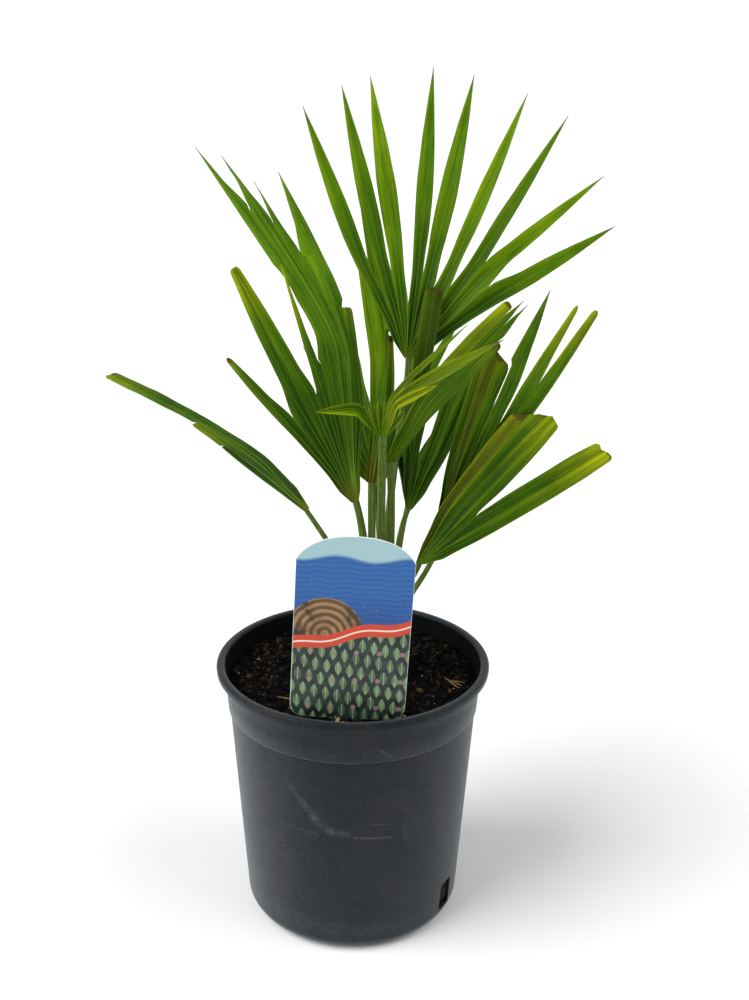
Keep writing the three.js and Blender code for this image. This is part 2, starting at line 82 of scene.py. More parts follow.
# hub: where the leaflets meet. face: turn and tilt, in degrees, of the blade's upper side.
# sag: the way its leaflets droop, beside straight down. knee: where along a leaflet it starts.
# web: how far from the hub each leaflet and the next are grown together, in order.
# stalk: root on the stem's top, rise of its first control point, lead of its last one into the
# hub, and its radius at root and hub. tone: the colour of its leaflets that have none of their
# own. heart: the colour round the hub and how far it reaches. depth: painted shade and light: how
# light the blade is painted at the shaded hub and at its ends, and how far out that goes.
FRONDS = {
    "top": dict(
        hub=(36, 26, 393), face=(-93, 12), sag=(0, 0.25), knee=0.35, tone="mid",
        heart=("olive", 8), depth=(0.36, 1.42, 120), web=(46, 58, 36, 56, 49, 54, 80, 70),
        stalk=dict(root=(21, 5), rise=104, lead=(-1, 4, 24), radius=(2.8, 2.1)),
        leaflets=(
            tip(-27.5, 173, 10.4, -0.3, -0.02), tip(-16.5, 178, 11.2, -0.25, -0.02),
            tip(-8, 185, 12.4, 0.2, tone="bright"), tip(5, 184, 10.8, -0.25, -0.02),
            tip(13, 184, 12, -0.15), tip(24.5, 184, 9.6, -0.15, 0.02, tone="bright"),
            tip(34.5, 182, 8.8, -0.35, 0.12), tip(41, 175, 9.6, 0.35, -0.04, tone="bright"),
            tip(54, 161, 10.8, 0.2, -0.06),
        ),
    ),
    "middle": dict(
        hub=(12, 10, 311), face=(-95, 14), sag=(-1.2, 0.4), knee=0.45, tone="mid",
        heart=("straw", 30), depth=(0.20, 1.42, 115), web=(130, WHOLE),
        stalk=dict(root=(13, 4.5), rise=40, lead=(0, 1, 28), radius=(2.9, 2.5)),
        leaflets=(
            tip(0.5, 168, 8, 0.2, tone="bright"), tip(4.5, 187, 8, 0.3),
            trim(13, 99, 5.2, 0.3, tone="deep", end="brown"),
        ),
    ),
    "left": dict(
        hub=(1, 8, 298), face=(-98, 12), sag=(-0.8, 0.3), knee=0.4, tone="mid",
        heart=("straw", 22), depth=(0.10, 1.08, 165),
        web=(70, WHOLE, 76, 95, 205, 215, 190, 165, WHOLE),
        stalk=dict(root=(7.8, 1), rise=30, lead=(-7, 2, 23), radius=(2.4, 1.9)),
        leaflets=(
            trim(-43, 131, 7.2, 0.05, 0.02, end="dull", natural=1.15),
            trim(-33, 176, 7.6, -0.1, 0.0, end="olive", natural=1.3),
            trim(-25.5, 177, 8.2, 0.05, -0.09, end="olive", natural=1.3),
            tip(-18.5, 168, 5.0, 0.05, 0.02, end="lime"),
            tip(-12.5, 258, 9.6, 0.55, 0.02), tip(-10, 241, 5.8, 0.55, 0.04),
            tip(-8.5, 244, 10.6, 0.55, -0.04), tip(-5.5, 221, 6.4, 0.55, -0.04),
            tip(-4, 224, 14.4, 0.5, 0.02), trim(2, 130, 5.2, 0.3, 0.02, end="fresh"),
        ),
    ),
    "low_left": dict(
        hub=(-31, -6, 296), face=(-60, 62), sag=(-1, 0), knee=0.2, tone="mid",
        heart=("olive", 10), depth=(0.42, 0.88, 140), web=(WHOLE, WHOLE),
        stalk=dict(root=(7, -6), rise=24, lead=(-13, 0, 20), radius=(2.4, 1.9)),
        leaflets=(
            tip(-27.8, 79, 5, 0.03, 0.13, tone="deep", end="plain"),
            trim(-20, 115, 7, 0.12, 0.13, tone="bright", end="olive", natural=1.4),
            trim(-11.5, 223, 12.8, 0.28, 0.13, end="olive", natural=1.4),
        ),
    ),
    "centre": dict(
        hub=(37, 6, 294), face=(-90, 6), sag=(1, 0.3), knee=0.3, tone="mid",
        heart=("mid", 10), depth=(0.45, 0.85, 100), web=(WHOLE, 30, WHOLE),
        stalk=dict(root=(28, 1.5), rise=25, lead=(9.5, 1, 24), radius=(2.2, 1.8)),
        leaflets=(
            trim(1, 147, 12.8, 0.15, tone="deep", end="russet", natural=1.5),
            trim(5.5, 88, 4.6, 0.05, 0.06, tone="deep", end="plain"),
            trim(20, 105, 10.4, 0.05, -0.06), trim(31, 109, 10, -0.1, -0.04, end="dull"),
        ),
    ),
    "right": dict(
        hub=(58, -6, 284), face=(-88, 6), sag=(0.4, 0.1), knee=0.25, tone="mid",
        heart=("mid", 10), depth=(0.36, 1.02, 135), web=(WHOLE, WHOLE, 86, 77, 112),
        stalk=dict(root=(30, -4), rise=14, lead=(-1, 0, 27), radius=(2.2, 1.7)),
        leaflets=(
            trim(6, 114, 8, 0.35, 0.02, end="brown"),
            trim(10.5, 125, 8, 0.15, 0.04, tone="olive", end="brown"),
            trim(19, 118, 11, 0.1, -0.02, natural=1.1), tip(24.5, 171, 12.4, -0.2, 0.12),
            trim(30.5, 171, 8, -0.15, 0.12, end="olive", natural=1.1),
            trim(37, 175, 8.2, -0.1, 0.02, end="olive", natural=1.18),
        ),
    ),
    "low_right": dict(
        hub=(43, -29, 268), face=(-80, 10), sag=(1, 0), knee=0.25, tone="mid",
        heart=("mid", 10), depth=(0.42, 0.98, 150), web=(WHOLE, WHOLE, WHOLE, 48, WHOLE),
        stalk=dict(root=(27, -10), rise=18, lead=(3, -5, 12), radius=(2.4, 2)),
        leaflets=(
            trim(23.5, 114, 8.4, 0.25, tone="olive", end="rust"), trim(34.5, 125, 6.6, 0.1, 0.04),
            trim(39.5, 130, 7.4, 0.1, end="olive"),
            trim(50.5, 129, 6.8, -0.05, -0.02, tone="bright", end="olive"),
            trim(54.5, 143, 12.4, 0.1, 0.04, end="olive", natural=1.5),
            trim(68, 147, 9.6, -0.1, tone="bright", end="lime", natural=1.5),
        ),
    ),
    "young": dict(
        hub=(18, -31, 355), face=(-90, 5), sag=(0, -0.5), knee=0.35, tone="mid",
        heart=("mid", 14), depth=(0.46, 0.90, 30), web=(10, 14, 8, 30, 26, 8),
        stalk=dict(root=(18, -5.2), rise=50, lead=(0, -10, 29), radius=(3.1, 2.6)),
        leaflets=(
            tip(-40, 40, 8.4, 1.55, -0.39, tone="bright", end="cut", knee=0.49),
            trim(-18, 21, 6, 0.3, end="fresh"), trim(-4, 23, 6, -0.4, end="fresh"),
            tip(9, 77, 3.8, 0.63, 0.66, tone="spring", knee=0.23),
            tip(14, 77, 8.4, 0.92, 0.85, tone="spring", knee=0.235),
            tip(20, 44, 7.4, 1.95, 0.25, tone="lime", end="lime", knee=0.41),
            trim(34, 20, 5, 0.3, end="fresh"),
        ),
    ),
    "inner": dict(
        hub=(23, -19.5, 334), face=(-85, 13.5), sag=(0.6, -0.3), knee=0.3, tone="bright",
        heart=("mid", 10), depth=(0.36, 0.92, 135), web=(118, 112, WHOLE),
        stalk=dict(root=(24.6, -4), rise=45, lead=(-3, -6, 27), radius=(2.7, 2.4)),
        leaflets=(
            trim(27, 125, 12, 0.35, end="rust"), tip(32, 133, 8.4, 0.25),
            tip(37.5, 134, 7, 0.15, -0.02), trim(41.5, 104, 4.4, 0.15, -0.08, end="dull"),
        ),
    ),
    "back": dict(
        hub=(16, 36, 300), face=(-84, 40), sag=(0.1, 0.8), knee=0.35, tone="mid",
        heart=("lime", 15), depth=(0.50, 1.0, 110), web=(60,) * 8,
        stalk=dict(root=(20, 12), rise=40, lead=(-1, 14, 24), radius=(2.5, 2)),
        leaflets=(
            tip(-45, 100, 7, 0.25), trim(-29.5, 155, 7.2, 0.2), tip(-19.5, 138, 7.6, 0.35),
            tip(-12, 185, 9, 0.25), tip(-5, 160, 7.8, 0.25, tone="bright"), tip(6, 185, 9, 0.25),
            tip(20, 185, 9, 0.25, tone="bright"), tip(25.5, 180, 8, 0.25), trim(34, 160, 8, 0.25),
        ),
    ),
    "back_left": dict(
        hub=(2, 30, 292), face=(-122, 44), sag=(-0.5, 0.6), knee=0.35, tone="mid",
        heart=("straw", 24), depth=(0.45, 1.0, 120), web=(60, 60),
        stalk=dict(root=(12, 11), rise=30, lead=(-6, 8, 20), radius=(2.4, 1.8)),
        leaflets=(
            tip(-40, 150, 8, 0.25), tip(-32.5, 165, 8, 0.3, tone="bright"), tip(-24, 170, 9, 0.25),
        ),
    ),
    "back_right": dict(
        hub=(38, 32, 288), face=(-58, 44), sag=(0.5, 0.6), knee=0.35, tone="deep",
        heart=("mid", 10), depth=(0.50, 1.0, 120), web=(40, 40, 40),
        stalk=dict(root=(27.5, 8.5), rise=28, lead=(5, 9, 18), radius=(2.4, 1.8)),
        leaflets=(
            trim(11.5, 150, 4.4, 0.3), tip(23, 170, 8.6, 0.25, tone="mid"),
            trim(41.5, 149, 7, 0.35), trim(48, 150, 8, 0.25, tone="mid"),
        ),
    ),
}

# What takes over the colour of each kind of end, how far back in millimetres, and how strongly.
ENDS = {
    "dry": (("dry", 9, 1.0),),
    "plain": (),
    "cut": (("lime", 20, 0.35), ("brown", 3, 0.5)),
    "dull": (("lime", 50, 0.2), ("brown", 12, 0.45), ("brown", 2, 0.7)),
    "brown": (("lime", 40, 0.3), ("brown", 9, 0.75)),
    "olive": (("lime", 60, 0.55), ("brown", 4, 0.3)),
    "lime": (("lime", 62, 0.9), ("brown", 3, 0.6)),
    "fresh": (("lime", 24, 0.3),),
    "rust": (("lime", 125, 0.6), ("brown", 115, 0.17), ("brown", 2.2, 0.8)),
    "russet": (("lime", 110, 0.12), ("brown", 95, 0.30), ("brown", 2.2, 0.8)),
}

LEAF = dict(
    start=0.01,  # distance of the first row of points from the hub
    spacing=3.5,  # between rows of points along a leaflet
    columns=4,  # steps from a rib to the next ridge or edge
    fold=0.36,  # rise of the edges over the rib, for each unit of half width
    pleat=0.9,  # how much steeper the folds are at the hub
    pleat_reach=35.0,  # how far from the hub that fades
    open_angle=4.0,  # leaflets closer than this, in degrees, lie flatter
    flattening=0.8,  # how much of the fold a cut end loses
    crown=0.07,  # how far each half bulges, for each unit of its width
    ripple=0.5,  # unevenness of edges and ribs
    # Painted light and shade: the left half of each leaflet is painted lighter and the right half
    # darker.
    painted_side_light=0.20,  # how much darker a leaflet's right half is, and how much lighter its left
    own_shade=0.12,  # how much lighter or darker one leaflet is than another
    clearance=0.3,  # between two leaflets beside a cleft
    cleft=26.0,  # how far past its foot a cleft stays narrow
    joint_cut=20.0,  # leaflets that differ by less than this were cut off together
    corner=2.4,  # rounding of the corners of a cut end
    root_blend=28.0,  # how far from the hub the ribs leave the stalk's width
    root_spread=1.3,  # width of the ribs' feet together, for each unit of the stalk's width
    outer_spread=0.12,  # how fast the outer leaflets may widen beyond the stalk
    knee_softness=0.12,  # how gently a leaflet bends at its knee
    waist=0.62,  # width near the foot, for each unit of the full width
    waist_at=0.2,  # how far along, as a share of the natural length, a leaflet is that narrow
    widest_at=0.58,
    taper=1.6,  # how long a leaflet stays wide before it narrows to its tip
    tip_half_width=0.16,
    uncrowded=0.055,  # half width at which a leaflet has room, for each unit away from the hub
    streak_shift=400,  # sets the streaks of one frond apart from those of the next
)


def clamp(value, low=0.0, high=1.0):
    """The value, held between two others."""
    return max(low, min(high, value))


def smoothstep(low, high, value):
    """Rises smoothly from 0 at low to 1 at high."""
    t = clamp((value - low) / (high - low))
    return t * t * (3 - 2 * t)


def lerp(a, b, t):
    """The number that lies a share t of the way from a to b."""
    return a + (b - a) * t


def polar(radius, turn):
    """The x and y of a point at a distance from the upright axis and a turn in radians."""
    return radius * math.cos(turn), radius * math.sin(turn)


def wobble(x, y, z=0.0):
    """Smooth noise between -1 and 1 that depends only on where it is read."""
    return noise.noise(Vector((x, y, z)))


# ------------------------------------------------------------------ settings


def length_property(name, description, value):
    """A length in metres."""
    return bpy.props.FloatProperty(
        name=name, description=description, default=value, min=0.0, unit="LENGTH", precision=4
    )


def colour_property(name, description, value):
    """A linear colour."""
    return bpy.props.FloatVectorProperty(
        name=name, description=description, default=value, min=0.0, max=1.0, size=3, subtype="COLOR"
    )


def share_property(name, description, value):
    """A number from 0 to 1."""
    return bpy.props.FloatProperty(
        name=name, description=description, default=value, min=0.0, max=1.0, subtype="FACTOR"
    )


def number_property(name, description, value):
    """A number without a unit."""
    return bpy.props.FloatProperty(name=name, description=description, default=value, min=0.0)


class PotSettings(bpy.types.PropertyGroup):
    """Sizes and colours of the pot."""

    height: length_property("Height", "From the floor to the rim", 0.186)
    lip_radius: length_property("Lip radius", "Outside of the rim", 0.095)
    foot_radius: length_property("Foot radius", "Outside, just over the rounded foot", 0.077)
    wall: length_property("Wall", "Thickness of the wall", 0.0018)
    colour: colour_property("Plastic", "Colour of the moulded plastic", (0.0016, 0.0060, 0.0092))
    warm: colour_property("Warm", "Colour of its more purple patches", (0.0078, 0.0066, 0.0086))
    dust: colour_property("Dust", "Colour of dust", (0.090, 0.108, 0.124))
    grime: colour_property("Grime", "Colour of the dirt in the crease", (0.095, 0.085, 0.060))
    scuff: colour_property("Scuffs", "Colour of scuffs and scratches", (0.160, 0.150, 0.165))
    soiled: colour_property("Soiled", "Colour where soil clings", (0.0035, 0.0032, 0.0030))
    wear: share_property("Wear", "How dusty and scuffed the pot is", 0.5)


class SoilSettings(bpy.types.PropertyGroup):
    """Sizes and colours of the potting soil."""

    level: length_property("Level", "Height of the soil's top", 0.174)
    crumbs: bpy.props.IntProperty(
        name="Crumbs", description="Number of loose crumbs", default=3600, min=0, max=6000
    )
    colour: colour_property("Peat", "Colour of the moist peat", (0.0022, 0.0018, 0.0016))
    crumb: colour_property("Crumb", "Colour of the drier crumbs", (0.018, 0.0135, 0.0105))
    grit: colour_property("Grit", "Colour of the pale mineral grains", (0.30, 0.28, 0.22))
    bark: colour_property("Bark", "Colour of bits of bark", (0.070, 0.040, 0.020))
    straw: colour_property("Straw", "Colour of the yellowish grains", (0.26, 0.17, 0.08))
    fibre: colour_property("Fibre", "Colour of rootlets and bark fibre", (0.11, 0.065, 0.034))


class LabelSettings(bpy.types.PropertyGroup):
    """Sizes and colours of the plastic label."""

    width: length_property("Width", "Width of the card", 0.073)
    thickness: length_property("Thickness", "Thickness of the card", 0.001)
    card: colour_property("Card", "Colour of the bare plastic", (0.72, 0.74, 0.72))
    sky: colour_property("Sky", "Pale colour at the top", (0.27, 0.42, 0.44))
    sea: colour_property("Water", "Deep blue of the water", (0.006, 0.040, 0.19))
    shallows: colour_property("Shallows", "Lighter blue of the water", (0.013, 0.095, 0.30))
    ribbon: colour_property("Ribbon", "Colour of the wavy ribbon", (0.45, 0.040, 0.014))
    earth: colour_property("Earth", "Brown of the rings", (0.085, 0.042, 0.016))
    sand: colour_property("Sand", "Light brown of the rings", (0.26, 0.15, 0.065))
    ground: colour_property("Ground", "Dark green of the lower half", (0.014, 0.027, 0.024))
    sprig: colour_property("Sprigs", "Light green of the leaf pattern", (0.140, 0.235, 0.105))
    dots: colour_property("Dots", "Pink of the dots", (0.26, 0.14, 0.14))


class StemSettings(bpy.types.PropertyGroup):
    """Colours of the stem and its fibre."""

    bark: colour_property("Bark", "Colour of the old leaf bases", (0.09, 0.05, 0.025))
    fibre: colour_property("Fibre", "Colour of the fibre round the stem", (0.19, 0.11, 0.05))
    hairs: bpy.props.IntProperty(
        name="Hairs", description="Number of fibres round the stem", default=520, min=0, max=3000
    )


class FrondSettings(bpy.types.PropertyGroup):
    """Sizes and colours of stalks and leaflets."""

    thickness: length_property("Thickness", "Thickness of a leaflet", 0.0004)
    deep: colour_property("Deep", "Dark green leaflets", (0.023, 0.066, 0.0006))
    mid: colour_property("Mid", "Green leaflets", (0.048, 0.116, 0.0005))
    bright: colour_property("Bright", "Light green leaflets", (0.068, 0.145, 0.0005))
    olive: colour_property("Olive", "Leaflets that turn yellow and brown", (0.074, 0.098, 0.001))
    spring: colour_property("Spring", "Leaflets that have just opened", (0.125, 0.185, 0.003))
    lime: colour_property("Lime", "Fresh yellow-green parts", (0.215, 0.250, 0.003))
    straw: colour_property("Straw", "Yellowish hearts of the fronds", (0.090, 0.078, 0.007))
    brown: colour_property("Brown", "Cut and withered ends", (0.048, 0.034, 0.004))
    grey: colour_property("Grey", "Dry tips", (0.085, 0.075, 0.040))
    underside: colour_property("Underside", "Lower side of every leaflet", (0.050, 0.086, 0.018))
    stalk: colour_property("Stalk", "Green of the stalks", (0.052, 0.085, 0.011))
    stalk_base: colour_property("Stalk base", "Brownish foot of the stalks", (0.10, 0.085, 0.026))


class StageSettings(bpy.types.PropertyGroup):
    """Floor, light and camera."""

    floor: colour_property("Floor", "Colour of the floor", (0.72, 0.72, 0.72))
    horizon: number_property("Horizon", "Brightness of the surroundings near the horizon", 1.05)
    overhead: number_property("Overhead", "Brightness of the surroundings overhead", 0.42)
    key: number_property("Key", "Strength of the main light", 3.9)
    fill: number_property("Fill", "Strength of the light from the other side", 1.5)
    focal: bpy.props.FloatProperty(
        name="Focal length", description="In pixels of the image", default=1100.0, min=1.0
    )


# ------------------------------------------------------------------ shader maths


class Shade:
    """One output of a shader's nodes. Operators on it add Math nodes."""

    def __init__(self, socket):
        self.socket = socket

    def node(self, kind, settings=None, inputs=None, output=0):
        """Adds any node: its type, its settings, then values or links for its sockets."""
        made = self.socket.id_data.nodes.new("ShaderNode" + kind)
        for name, value in (settings or {}).items():
            if name == "stops":
                for _ in range(len(value) - len(made.color_ramp.elements)):
                    made.color_ramp.elements.new(1.0)
                for element, (position, colour) in zip(made.color_ramp.elements, value):
                    element.position = position
                    element.color = (*colour, 1.0)
            else:
                setattr(made, name, value)
        for name, value in (inputs or {}).items():
            feed(made.inputs[name], value)
        return Shade(made.outputs[output])

    def maths(self, operation, *others):
        """Adds a Math node whose first value is this one."""
        return self.node("Math", {"operation": operation}, dict(enumerate((self, *others))))

    def maths_after(self, operation, first):
        """Adds a Math node whose second value is this one."""
        return self.node("Math", {"operation": operation}, {0: first, 1: self})

    def __add__(self, other):
        return self.maths("ADD", other)

    __radd__ = __add__

    def __sub__(self, other):
        return self.maths("SUBTRACT", other)

    def __rsub__(self, other):
        return self.maths_after("SUBTRACT", other)

    def __mul__(self, other):
        return self.maths("MULTIPLY", other)

    __rmul__ = __mul__

    def __truediv__(self, other):
        return self.maths("DIVIDE", other)

    def __rtruediv__(self, other):
        return self.maths_after("DIVIDE", other)

    def __gt__(self, other):
        return self.maths("GREATER_THAN", other)

    def __lt__(self, other):
        return self.maths("LESS_THAN", other)

    def ramp(self, low, high):
        """Rises smoothly from 0 at low to 1 at high, or falls where low is the larger."""
        inputs = {"Value": self, "From Min": min(low, high), "From Max": max(low, high)}
        rise = self.node("MapRange", {"interpolation_type": "SMOOTHSTEP"}, inputs)
        return 1 - rise if low > high else rise

    def blend(self, first, second):
        """Mixes two colours: self is the share of the second."""
        return self.node("Mix", {"data_type": "RGBA"}, {0: self, 6: first, 7: second}, output=2)

    def brighten(self, factor):
        """Scales a colour by a value."""
        return self.node("VectorMath", {"operation": "SCALE"}, {"Vector": self, "Scale": factor})

    def stretched(self, x, y, z):
        """Scales a vector along each axis."""
        return self.node("VectorMath", {"operation": "MULTIPLY"}, {0: self, 1: (x, y, z)})

    def grain(self, scale, detail, roughness, distortion=0.0):
        """Noise read at a vector."""
        inputs = {
            "Vector": self, "Scale": scale, "Detail": detail,
            "Roughness": roughness, "Distortion": distortion,
        }
        return self.node("TexNoise", None, inputs)

    def axes(self):
        """The three parts of a vector."""
        split = self.node("SeparateXYZ", None, {0: self})
        return [Shade(socket) for socket in split.socket.node.outputs]

    def attribute(self, name, output="Fac"):
        """A value that the mesh carries at its points."""
        return self.node("Attribute", {"attribute_name": name}, output=output)


def feed(socket, value):
    """Links a node's socket to a shade, or sets it to a number, a vector or a colour."""
    if isinstance(value, Shade):
        socket.id_data.links.new(value.socket, socket)
    elif socket.type == "RGBA":
        socket.default_value = (*value, 1.0)
    else:
        socket.default_value = value


def scaled(colour, factor):
    """A plain colour made lighter or darker."""
    return tuple(min(1.0, part * factor) for part in colour)


def new_material(name, finish):
    """Makes a material. finish(place) is given the position in millimetres in the object's frame
    and returns the values of the surface's sockets by name. Its height, if any, is a bump: the
    relief and its depth in millimetres."""
    material = bpy.data.materials.new(name)
    material.use_nodes = True
    surface = material.node_tree.nodes["Principled BSDF"]
    coordinates = Shade(surface.outputs[0]).node("TexCoord", output="Object")
    place = coordinates.stretched(1 / MM, 1 / MM, 1 / MM)
    values = finish(place)
    if "height" in values:
        relief, depth = values.pop("height")
        inputs = {"Height": relief, "Distance": depth * MM, "Strength": 1.0}
        values["Normal"] = place.node("Bump", None, inputs)
    for socket, value in values.items():
        feed(surface.inputs[socket], value)
    return material


# ------------------------------------------------------------------ meshes


class Heap:
    """Vertices and faces of one piece while it is put together, in millimetres."""

    def __init__(self):
        self.vertices = []
        self.faces = []
        self.paints = []
        self.values = {}

    def add(self, vertices, faces, paint=0):
        """Adds points and faces, whose corners count from the first of these points."""
        start = len(self.vertices)
        self.vertices.extend(vertices)
        self.faces.extend([start + corner for corner in face] for face in faces)
        self.paints.extend([paint] * len(faces))

    def repaint(self, first, paint):
        """Gives all faces from the first on another material."""
        self.paints[first:] = [paint] * (len(self.paints) - first)

    def tube(self, path, radii, sides, paint):
        """A closed tube along a path of points."""
        rings = []
        for i, point in enumerate(path):
            along = (path[min(i + 1, len(path) - 1)] - path[max(i - 1, 0)]).normalized()
            side = along.cross(UP if abs(along.z) < 0.9 else Vector((1, 0, 0))).normalized()
            other = along.cross(side)
            for k in range(sides):
                turn = math.tau * k / sides
                rings.append(point + (side * math.cos(turn) + other * math.sin(turn)) * radii[i])
        self.add(rings, ring_faces(len(path), sides), paint)

    def piece(self, name, materials, node, slot, smooth):
        """Makes the object. Edges that turn by more than smooth, in degrees, stay sharp."""
        mesh = bpy.data.meshes.new(name)
        mesh.from_pydata([vertex * MM for vertex in self.vertices], [], self.faces)
        for material in materials:
            mesh.materials.append(material)
        mesh.polygons.foreach_set("material_index", self.paints)
        for key, (kind, numbers) in self.values.items():
            made = mesh.attributes.new(key, kind, "POINT")
            made.data.foreach_set("vector" if kind == "FLOAT_VECTOR" else "value", numbers)
        mesh.validate()
        mesh.polygons.foreach_set("use_smooth", [True] * len(mesh.polygons))
        mesh.set_sharp_from_angle(angle=math.radians(smooth))
        mesh.update()
        return add_piece(name, mesh, node)


def add_object(name, data):
    """Makes an object of a mesh, a light or a camera and links it to the scene."""
    made = bpy.data.objects.new(name, data)
    bpy.context.scene.collection.objects.link(made)
    return made


def add_piece(name, mesh, node):
    """Makes a piece of the part, which rides on the root body and stands for its CAD node."""
    piece = add_object(name, mesh)
    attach(piece, "root")
    if node:
        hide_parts(node)
    return piece


def ring_faces(rings, sides):
    """Faces of a skin over equal rings of points, closed at both its ends."""
    faces = []
    for ring in range(rings - 1):
        near = ring * sides
        for k in range(sides):
            step = (k + 1) % sides
            faces.append((near + k, near + step, near + sides + step, near + sides + k))
    last = (rings - 1) * sides
    faces.append(tuple(range(sides))[::-1])
    faces.append(tuple(last + k for k in range(sides)))
    return faces


def arc(centre, radius, start, end, steps):
    """Points of a rounding in a profile of radius and height; angles in degrees."""
    points = []
    for i in range(steps + 1):
        across, up = polar(radius, math.radians(lerp(start, end, i / steps)))
        points.append((centre[0] + across, centre[1] + up))
    return points


def spin(profile, sides):
    """Vertices and faces of a profile turned about the upright axis, closed at both its ends."""
    vertices = [
        Vector((*polar(r, math.tau * k / sides), z)) for r, z in profile for k in range(sides)
    ]
    return vertices, ring_faces(len(profile), sides)


# ------------------------------------------------------------------ pot

COLLAR = dict(height=32, radius=89.3, step_radius=87.6, step=1.2)
LIP = dict(height=5, width=5.8, rounding=1.9, root=3)
FOOT_ROUNDING = 10
FLOOR = dict(level=3, inset=7)
SLOT = dict(count=2, turn=-32, width=14, height=22, sill=9, depth=30, rounding=1.2)
POT_SIDES = 200
MIDDLE = 0.02  # radius of the small faces that close the pot in its middle
INSIDE_ROWS = 6  # last rows of faces of the profile, inside the wall

# Scuffs on the front of the pot: both ends as x and z, half width, and strength.
SCUFFS = (
    ((-42, 131), (-33, 120), 3.6, 0.14), ((-33, 120), (-25, 109), 4.4, 0.20),
    ((-25, 109), (-15, 100.5), 5.2, 0.24), ((-15, 100.5), (-3, 98.5), 4.2, 0.22),
    ((-47, 98), (-23, 96.5), 1.6, 0.14), ((1, 95.8), (25, 93.8), 1.4, 0.40),
    ((12, 106), (25, 104), 1.2, 0.22), ((18, 163), (24, 158), 2.2, 0.30),
    ((-56, 22), (40, 17), 9.0, 0.10), ((34, 99), (36, 90), 4.0, 0.12),
)


def pot_profile(settings):
    """The pot's section, as radius and height, from the middle of its underside round to the
    middle of its floor inside."""
    height = settings.height / MM
    lip_radius = settings.lip_radius / MM
    foot = settings.foot_radius / MM
    wall = settings.wall / MM
    step_level = height - COLLAR["height"]
    lip_bottom = height - LIP["height"]
    lip_inner = lip_radius - LIP["width"]
    under_step = COLLAR["step_radius"] - COLLAR["step"]
    rounding = LIP["rounding"]
    lip_top = height - rounding

    def inside(level):
        """The radius of the wall's inside at a level."""
        share = (level - FLOOR["level"]) / (step_level - FLOOR["level"])
        return lerp(foot - wall, under_step - wall, share)

    shares = [step / 6 for step in range(1, 7)]
    # The small numbers ease its edges.
    return [
        (MIDDLE, 0),
        (foot - FOOT_ROUNDING - 3, 0),
        *arc((foot - FOOT_ROUNDING, FOOT_ROUNDING), FOOT_ROUNDING, -90, -3, 14),
        *[(lerp(foot, under_step, t), lerp(FOOT_ROUNDING, step_level - 0.5, t)) for t in shares],
        (under_step + 0.35, step_level - 0.1),
        (COLLAR["step_radius"] - 0.3, step_level + 0.1),
        (COLLAR["step_radius"], step_level + 0.6),
        (lerp(COLLAR["step_radius"], COLLAR["radius"], 0.5), lerp(step_level, lip_bottom, 0.5)),
        (COLLAR["radius"], lip_bottom - 1.0),
        (COLLAR["radius"] + 0.6, lip_bottom - 0.15),
        (lip_radius - 1.0, lip_bottom),
        (lip_radius - 0.2, lip_bottom + 0.5),
        *arc((lip_radius - rounding, lip_top), rounding, 0, 90, 7),
        *arc((lip_inner + rounding, lip_top), rounding, 90, 180, 7),
        (COLLAR["radius"] - wall, lip_bottom - LIP["root"]),
        (inside(step_level) + 0.8, step_level + 2),
        (inside(step_level), step_level - 2),
        (inside(FOOT_ROUNDING), FOOT_ROUNDING),
        (inside(FLOOR["level"]) - FLOOR["inset"], FLOOR["level"]),
        (MIDDLE, FLOOR["level"]),
    ]


def cut_slots(piece, settings):
    """Cuts the drainage slots through the wall and its rounded foot."""
    size = Matrix.Diagonal((SLOT["depth"] * MM, SLOT["width"] * MM, SLOT["height"] * MM, 1.0))
    centre = Vector((settings.foot_radius, 0, (SLOT["sill"] + SLOT["height"] / 2) * MM))
    placed = Matrix.Translation(centre) @ size
    for i in range(SLOT["count"]):
        turn = Matrix.Rotation(math.radians(SLOT["turn"] + i * 360 / SLOT["count"]), 4, "Z")
        block = bmesh.new()
        bmesh.ops.create_cube(block, size=1.0)
        bmesh.ops.transform(block, matrix=turn @ placed, verts=block.verts)
        rounding = SLOT["rounding"] * MM
        bmesh.ops.bevel(block, geom=block.edges[:], offset=rounding, segments=3, affect="EDGES")
        mesh = bpy.data.meshes.new("slot_cutter")
        block.to_mesh(mesh)
        block.free()
        tool = add_object("slot_cutter", mesh)
        modifier = piece.modifiers.new("slot", "BOOLEAN")
        modifier.operation = "DIFFERENCE"
        modifier.solver = "EXACT"
        modifier.object = tool
        bpy.context.view_layer.update()
        graph = bpy.context.evaluated_depsgraph_get()
        result = bpy.data.meshes.new_from_object(piece.evaluated_get(graph))
        piece.modifiers.clear()
        piece.data = result
        bpy.data.objects.remove(tool)
        bpy.data.meshes.remove(mesh)


def scuff_marks(x, y, z):
    """How strongly the scuffs on the front of the pot show."""
    marks = 0.0
    for (x0, z0), (x1, z1), half, strength in SCUFFS:
        span_x, span_z = x1 - x0, z1 - z0
        along = ((x - x0) * span_x + (z - z0) * span_z) / (span_x * span_x + span_z * span_z)
        held = along.maths("MAXIMUM", 0.0).maths("MINIMUM", 1.0)
        off_x = x - (held * span_x + x0)
        off_z = z - (held * span_z + z0)
        away = (off_x * off_x + off_z * off_z).maths("SQRT")
        marks = marks + away.ramp(half, 0.0) * strength
    return marks * (y < 0)


